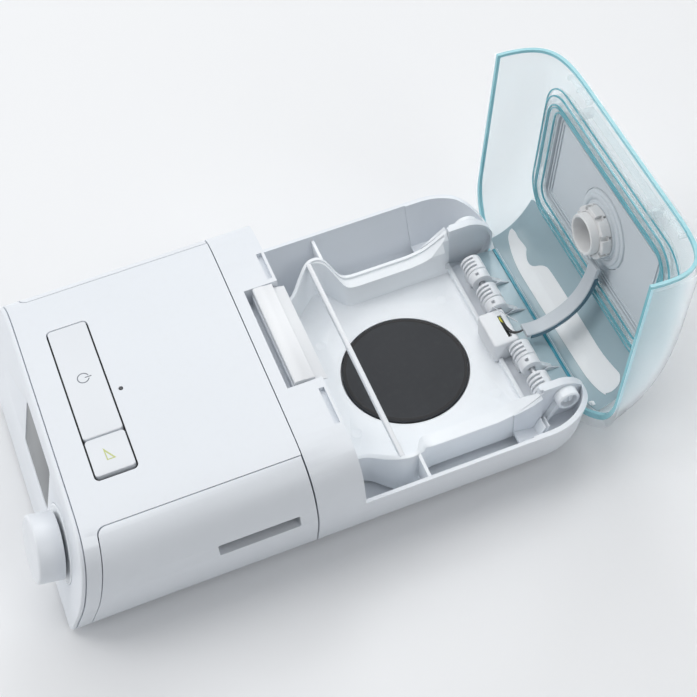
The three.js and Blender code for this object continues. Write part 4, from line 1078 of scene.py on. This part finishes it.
armPath = splineThrough([(268.3, 29), (268.8, 36), (266.8, 44), (262.6, 51.6), (257, 57.6), (250, 62.2),
        (241, 65.4), (233, 66.9), (224, 67.6)], 5)
arm = slab("wireArm", ribbon(armPath, 2.6), "x", 7.4, 16.6)
finishOnLid(soften(arm, 0.5, 3), "armGreyFinShade", "wire_arm")
# a dark blue-grey strip under the arm's near edge: partly painted shade beneath the arm, partly a dark teal
# edge line
armEdgeStrip = slab("armEdgeStrip", ribbon([(y + 0.8, z + 0.6) for y, z in armPath[2:-4]], 2.6), "x", 16.4, 17)
finishOnLid(soften(armEdgeStrip, 0.2), "armShadeAndTeal")
springPath = splineThrough([(-8.6, 267.2, 29), (-3.5, 270.5, 29), (2.4, 273.6, 28.6), (6.7, 276.3, 28.4)])
finish(tube("springWire", springPath, 0.35, 3), "base", "armGreyFinShade", slot="steel")

knuckles = [(-38.4, -32), (-15.4, -9), (30.6, 37), (54.6, 60.2)]
for i, (x0, x1) in enumerate(knuckles):
    knuckle = rod(f"lidKnuckle{i + 1}", "x", hinge["y"], hinge["z"], 6.3, x0, x1, 48)
    wallY = hinge["y"] + tab["near"] - 0.3
    gusset = [(hinge["y"], 20), (wallY, tab["low"]), (wallY, 38), (hinge["y"], 28)]
    weld(knuckle, slab("gusset", gusset, "x", x0 + 1.6, x1 - 1.6))
    pocket = brick("pocket", (x0 + x1) / 2 - 1.1, (x0 + x1) / 2 + 1.1, hinge["y"] - 3, hinge["y"] - 1, 26.4, 31)
    carve(soften(knuckle, 0.3), rod("bore", "x", hinge["y"], hinge["z"], 2.2, x0 - 1, x1 + 1),
          move(pocket, lidTurn.inverted()))
    # the fins are white plastic given the grey finish: painted shade on their shadowed side
    fin = slab(f"knuckleFin{i + 1}", [(wallY - 0.1, tab["low"] + 1), (wallY - 0.1, 42), (wallY - 3.2, 35)], "x",
        x1 - 1.5, x1 - 0.4)
    finishOnLid(soften(fin, 0.2), "armGreyFinShade", slot="trim_white")
    finishOnLid(knuckle, "trimWhite", f"lid_knuckle_{i + 1}")

catch = weld(brick("lidCatch", -40, 42, 152.8, 156.2, 77.2, 80.1),
    brick("hook", -40, -37.6, 152.8, 159.2, 71, 80.1), brick("hook", 39.6, 42, 152.8, 159.2, 71, 80.1))
clearPiece(catch, 0.35, "lid_catch")
for i, (x0, x1) in enumerate([(-63.4, -40.0), (42.2, 65.2)]):
    clip = weld(brick(f"edgeClip{i + 1}", x0, x1, 149.6, 151.2, 76.6, 79.6),
        brick("end", x0, x0 + 1.6, 148.4, 151.2, 75.4, 79.6),
        brick("end", x1 - 1.6, x1, 148.4, 151.2, 75.4, 79.6),
        brick("middle", (x0 + x1) / 2 - 0.8, (x0 + x1) / 2 + 0.8, 149, 151.2, 75.4, 79.6))
    clearPiece(clip, 0.3)

turn = splineThrough([(0, 0, 96), (0, 0, 99), (0, -2.6, 104), (0, -7.4, 107.3), (0, -13, 108.5),
        (0, -17, 108.5), (0, -24, 108.5)], 6)
elbow = weld(spun("outletElbow", [(0, 84.6), (15.2, 84.6), (15.6, 85), (15.6, 96.2), (14.8, 97), (0, 97)], 72),
             tube("bend", turn, 11.4, 8))
carve(elbow, rod("socket", "z", 0, 0, port["outer"] + 0.3, 80, 88.6), rod("way", "z", 0, 0, 9.5, 86, 98),
      tube("throat", turn, 9.4, 8))
move(elbow, atPort @ turned(200, "Z"))
finish(soften(elbow, 0.4), "elbow", "trimWhite", "outlet_elbow", place=lidTurn)
print("lid ready")

# floor, world, lamps and camera
studio = {"floor": (0.87, 0.88, 0.895), "sky": (0.97, 0.985, 1.0), "skyLevel": 0.27,
    "backdrop": (0.88, 0.89, 0.90), "wide": 5, "floorRough": 0.8, "aim": (0, 0, 0.05)}
lamps = {"overhead": {"at": (-0.75, 0.1, 2.25), "size": 1.8, "power": 17.8},
         "keyLamp": {"at": (-2.2, 1.5, 2.2), "size": 1.7, "power": 31.0},
         "frontFill": {"at": (-0.5, -2.2, 0.8), "size": 1.6, "power": 14.5},
         "lidFill": {"at": (-0.45, -0.9, 1.7), "size": 0.8, "power": 6.5},
         "sideFill": {"at": (1.6, 0.9, 1.5), "size": 1.2, "power": 7.5}}
floor = started("studioFloor", bpy.ops.mesh.primitive_plane_add, size=studio["wide"], location=(0, 0, 0))
floorLook = bpy.data.materials.new("studioFloor")
floorLook.use_nodes = True
setInputs(floorLook.node_tree.nodes["Principled BSDF"],
          {"Base Color": (*studio["floor"], 1), "Roughness": studio["floorRough"]})
floor.data.materials.append(floorLook)
floor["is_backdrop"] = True

scene = bpy.context.scene
scene.world = bpy.data.worlds.new("studio")
scene.world.use_nodes = True
air = scene.world.node_tree
background = air.nodes["Background"]
setInputs(background, {"Color": (*studio["sky"], 1), "Strength": studio["skyLevel"]})
seen = addNode(air, "Background", -200, -200, {"Color": (*studio["backdrop"], 1)})
rays = addNode(air, "LightPath", -600, 300)
first = addNode(air, "Math", -400, 300, operation="MAXIMUM")
either = addNode(air, "Math", -200, 300, operation="MAXIMUM")
mixer = addNode(air, "MixShader", 100, 100)
join(air, (rays, "Is Camera Ray", first, 0), (rays, "Is Glossy Ray", first, 1), (first, 0, either, 0),
     (rays, "Is Transmission Ray", either, 1), (either, 0, mixer, 0), (background, 0, mixer, 1),
     (seen, 0, mixer, 2), (mixer, 0, air.nodes["World Output"], "Surface"))

for name, lamp in lamps.items():
    softbox = started(name, bpy.ops.object.light_add, type="AREA", location=lamp["at"])
    softbox.data.shape = "SQUARE"
    softbox.data.size = lamp["size"]
    softbox.data.energy = lamp["power"]
    softbox.rotation_euler = (Vector(studio["aim"]) - Vector(lamp["at"])).to_track_quat("-Z", "Y").to_euler()

view = {"azimuth": 72.81, "elevation": 53.69, "roll": -5.17, "lens": 78.21, "sensor": 36,
        "place": (0.48262, -0.14727, 0.73713)}
azimuth, elevation, roll = (math.radians(view[k]) for k in ("azimuth", "elevation", "roll"))
ahead = Vector((-math.sin(azimuth) * math.cos(elevation), math.cos(azimuth) * math.cos(elevation),
                -math.sin(elevation)))
level = Vector((math.cos(azimuth), math.sin(azimuth), 0))
rise = level.cross(ahead)
right = level * math.cos(roll) + rise * math.sin(roll)
up = rise * math.cos(roll) - level * math.sin(roll)
camera = started("photoView", bpy.ops.object.camera_add)
camera.data.lens = view["lens"]
camera.data.sensor_width = view["sensor"]
camera.data.clip_start = 0.01
camera.matrix_world = at(*view["place"]) @ Matrix((right, up, -ahead)).transposed().to_4x4()
scene.camera = camera
scene.view_settings.view_transform = "Standard"
print("studio ready")

low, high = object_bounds()
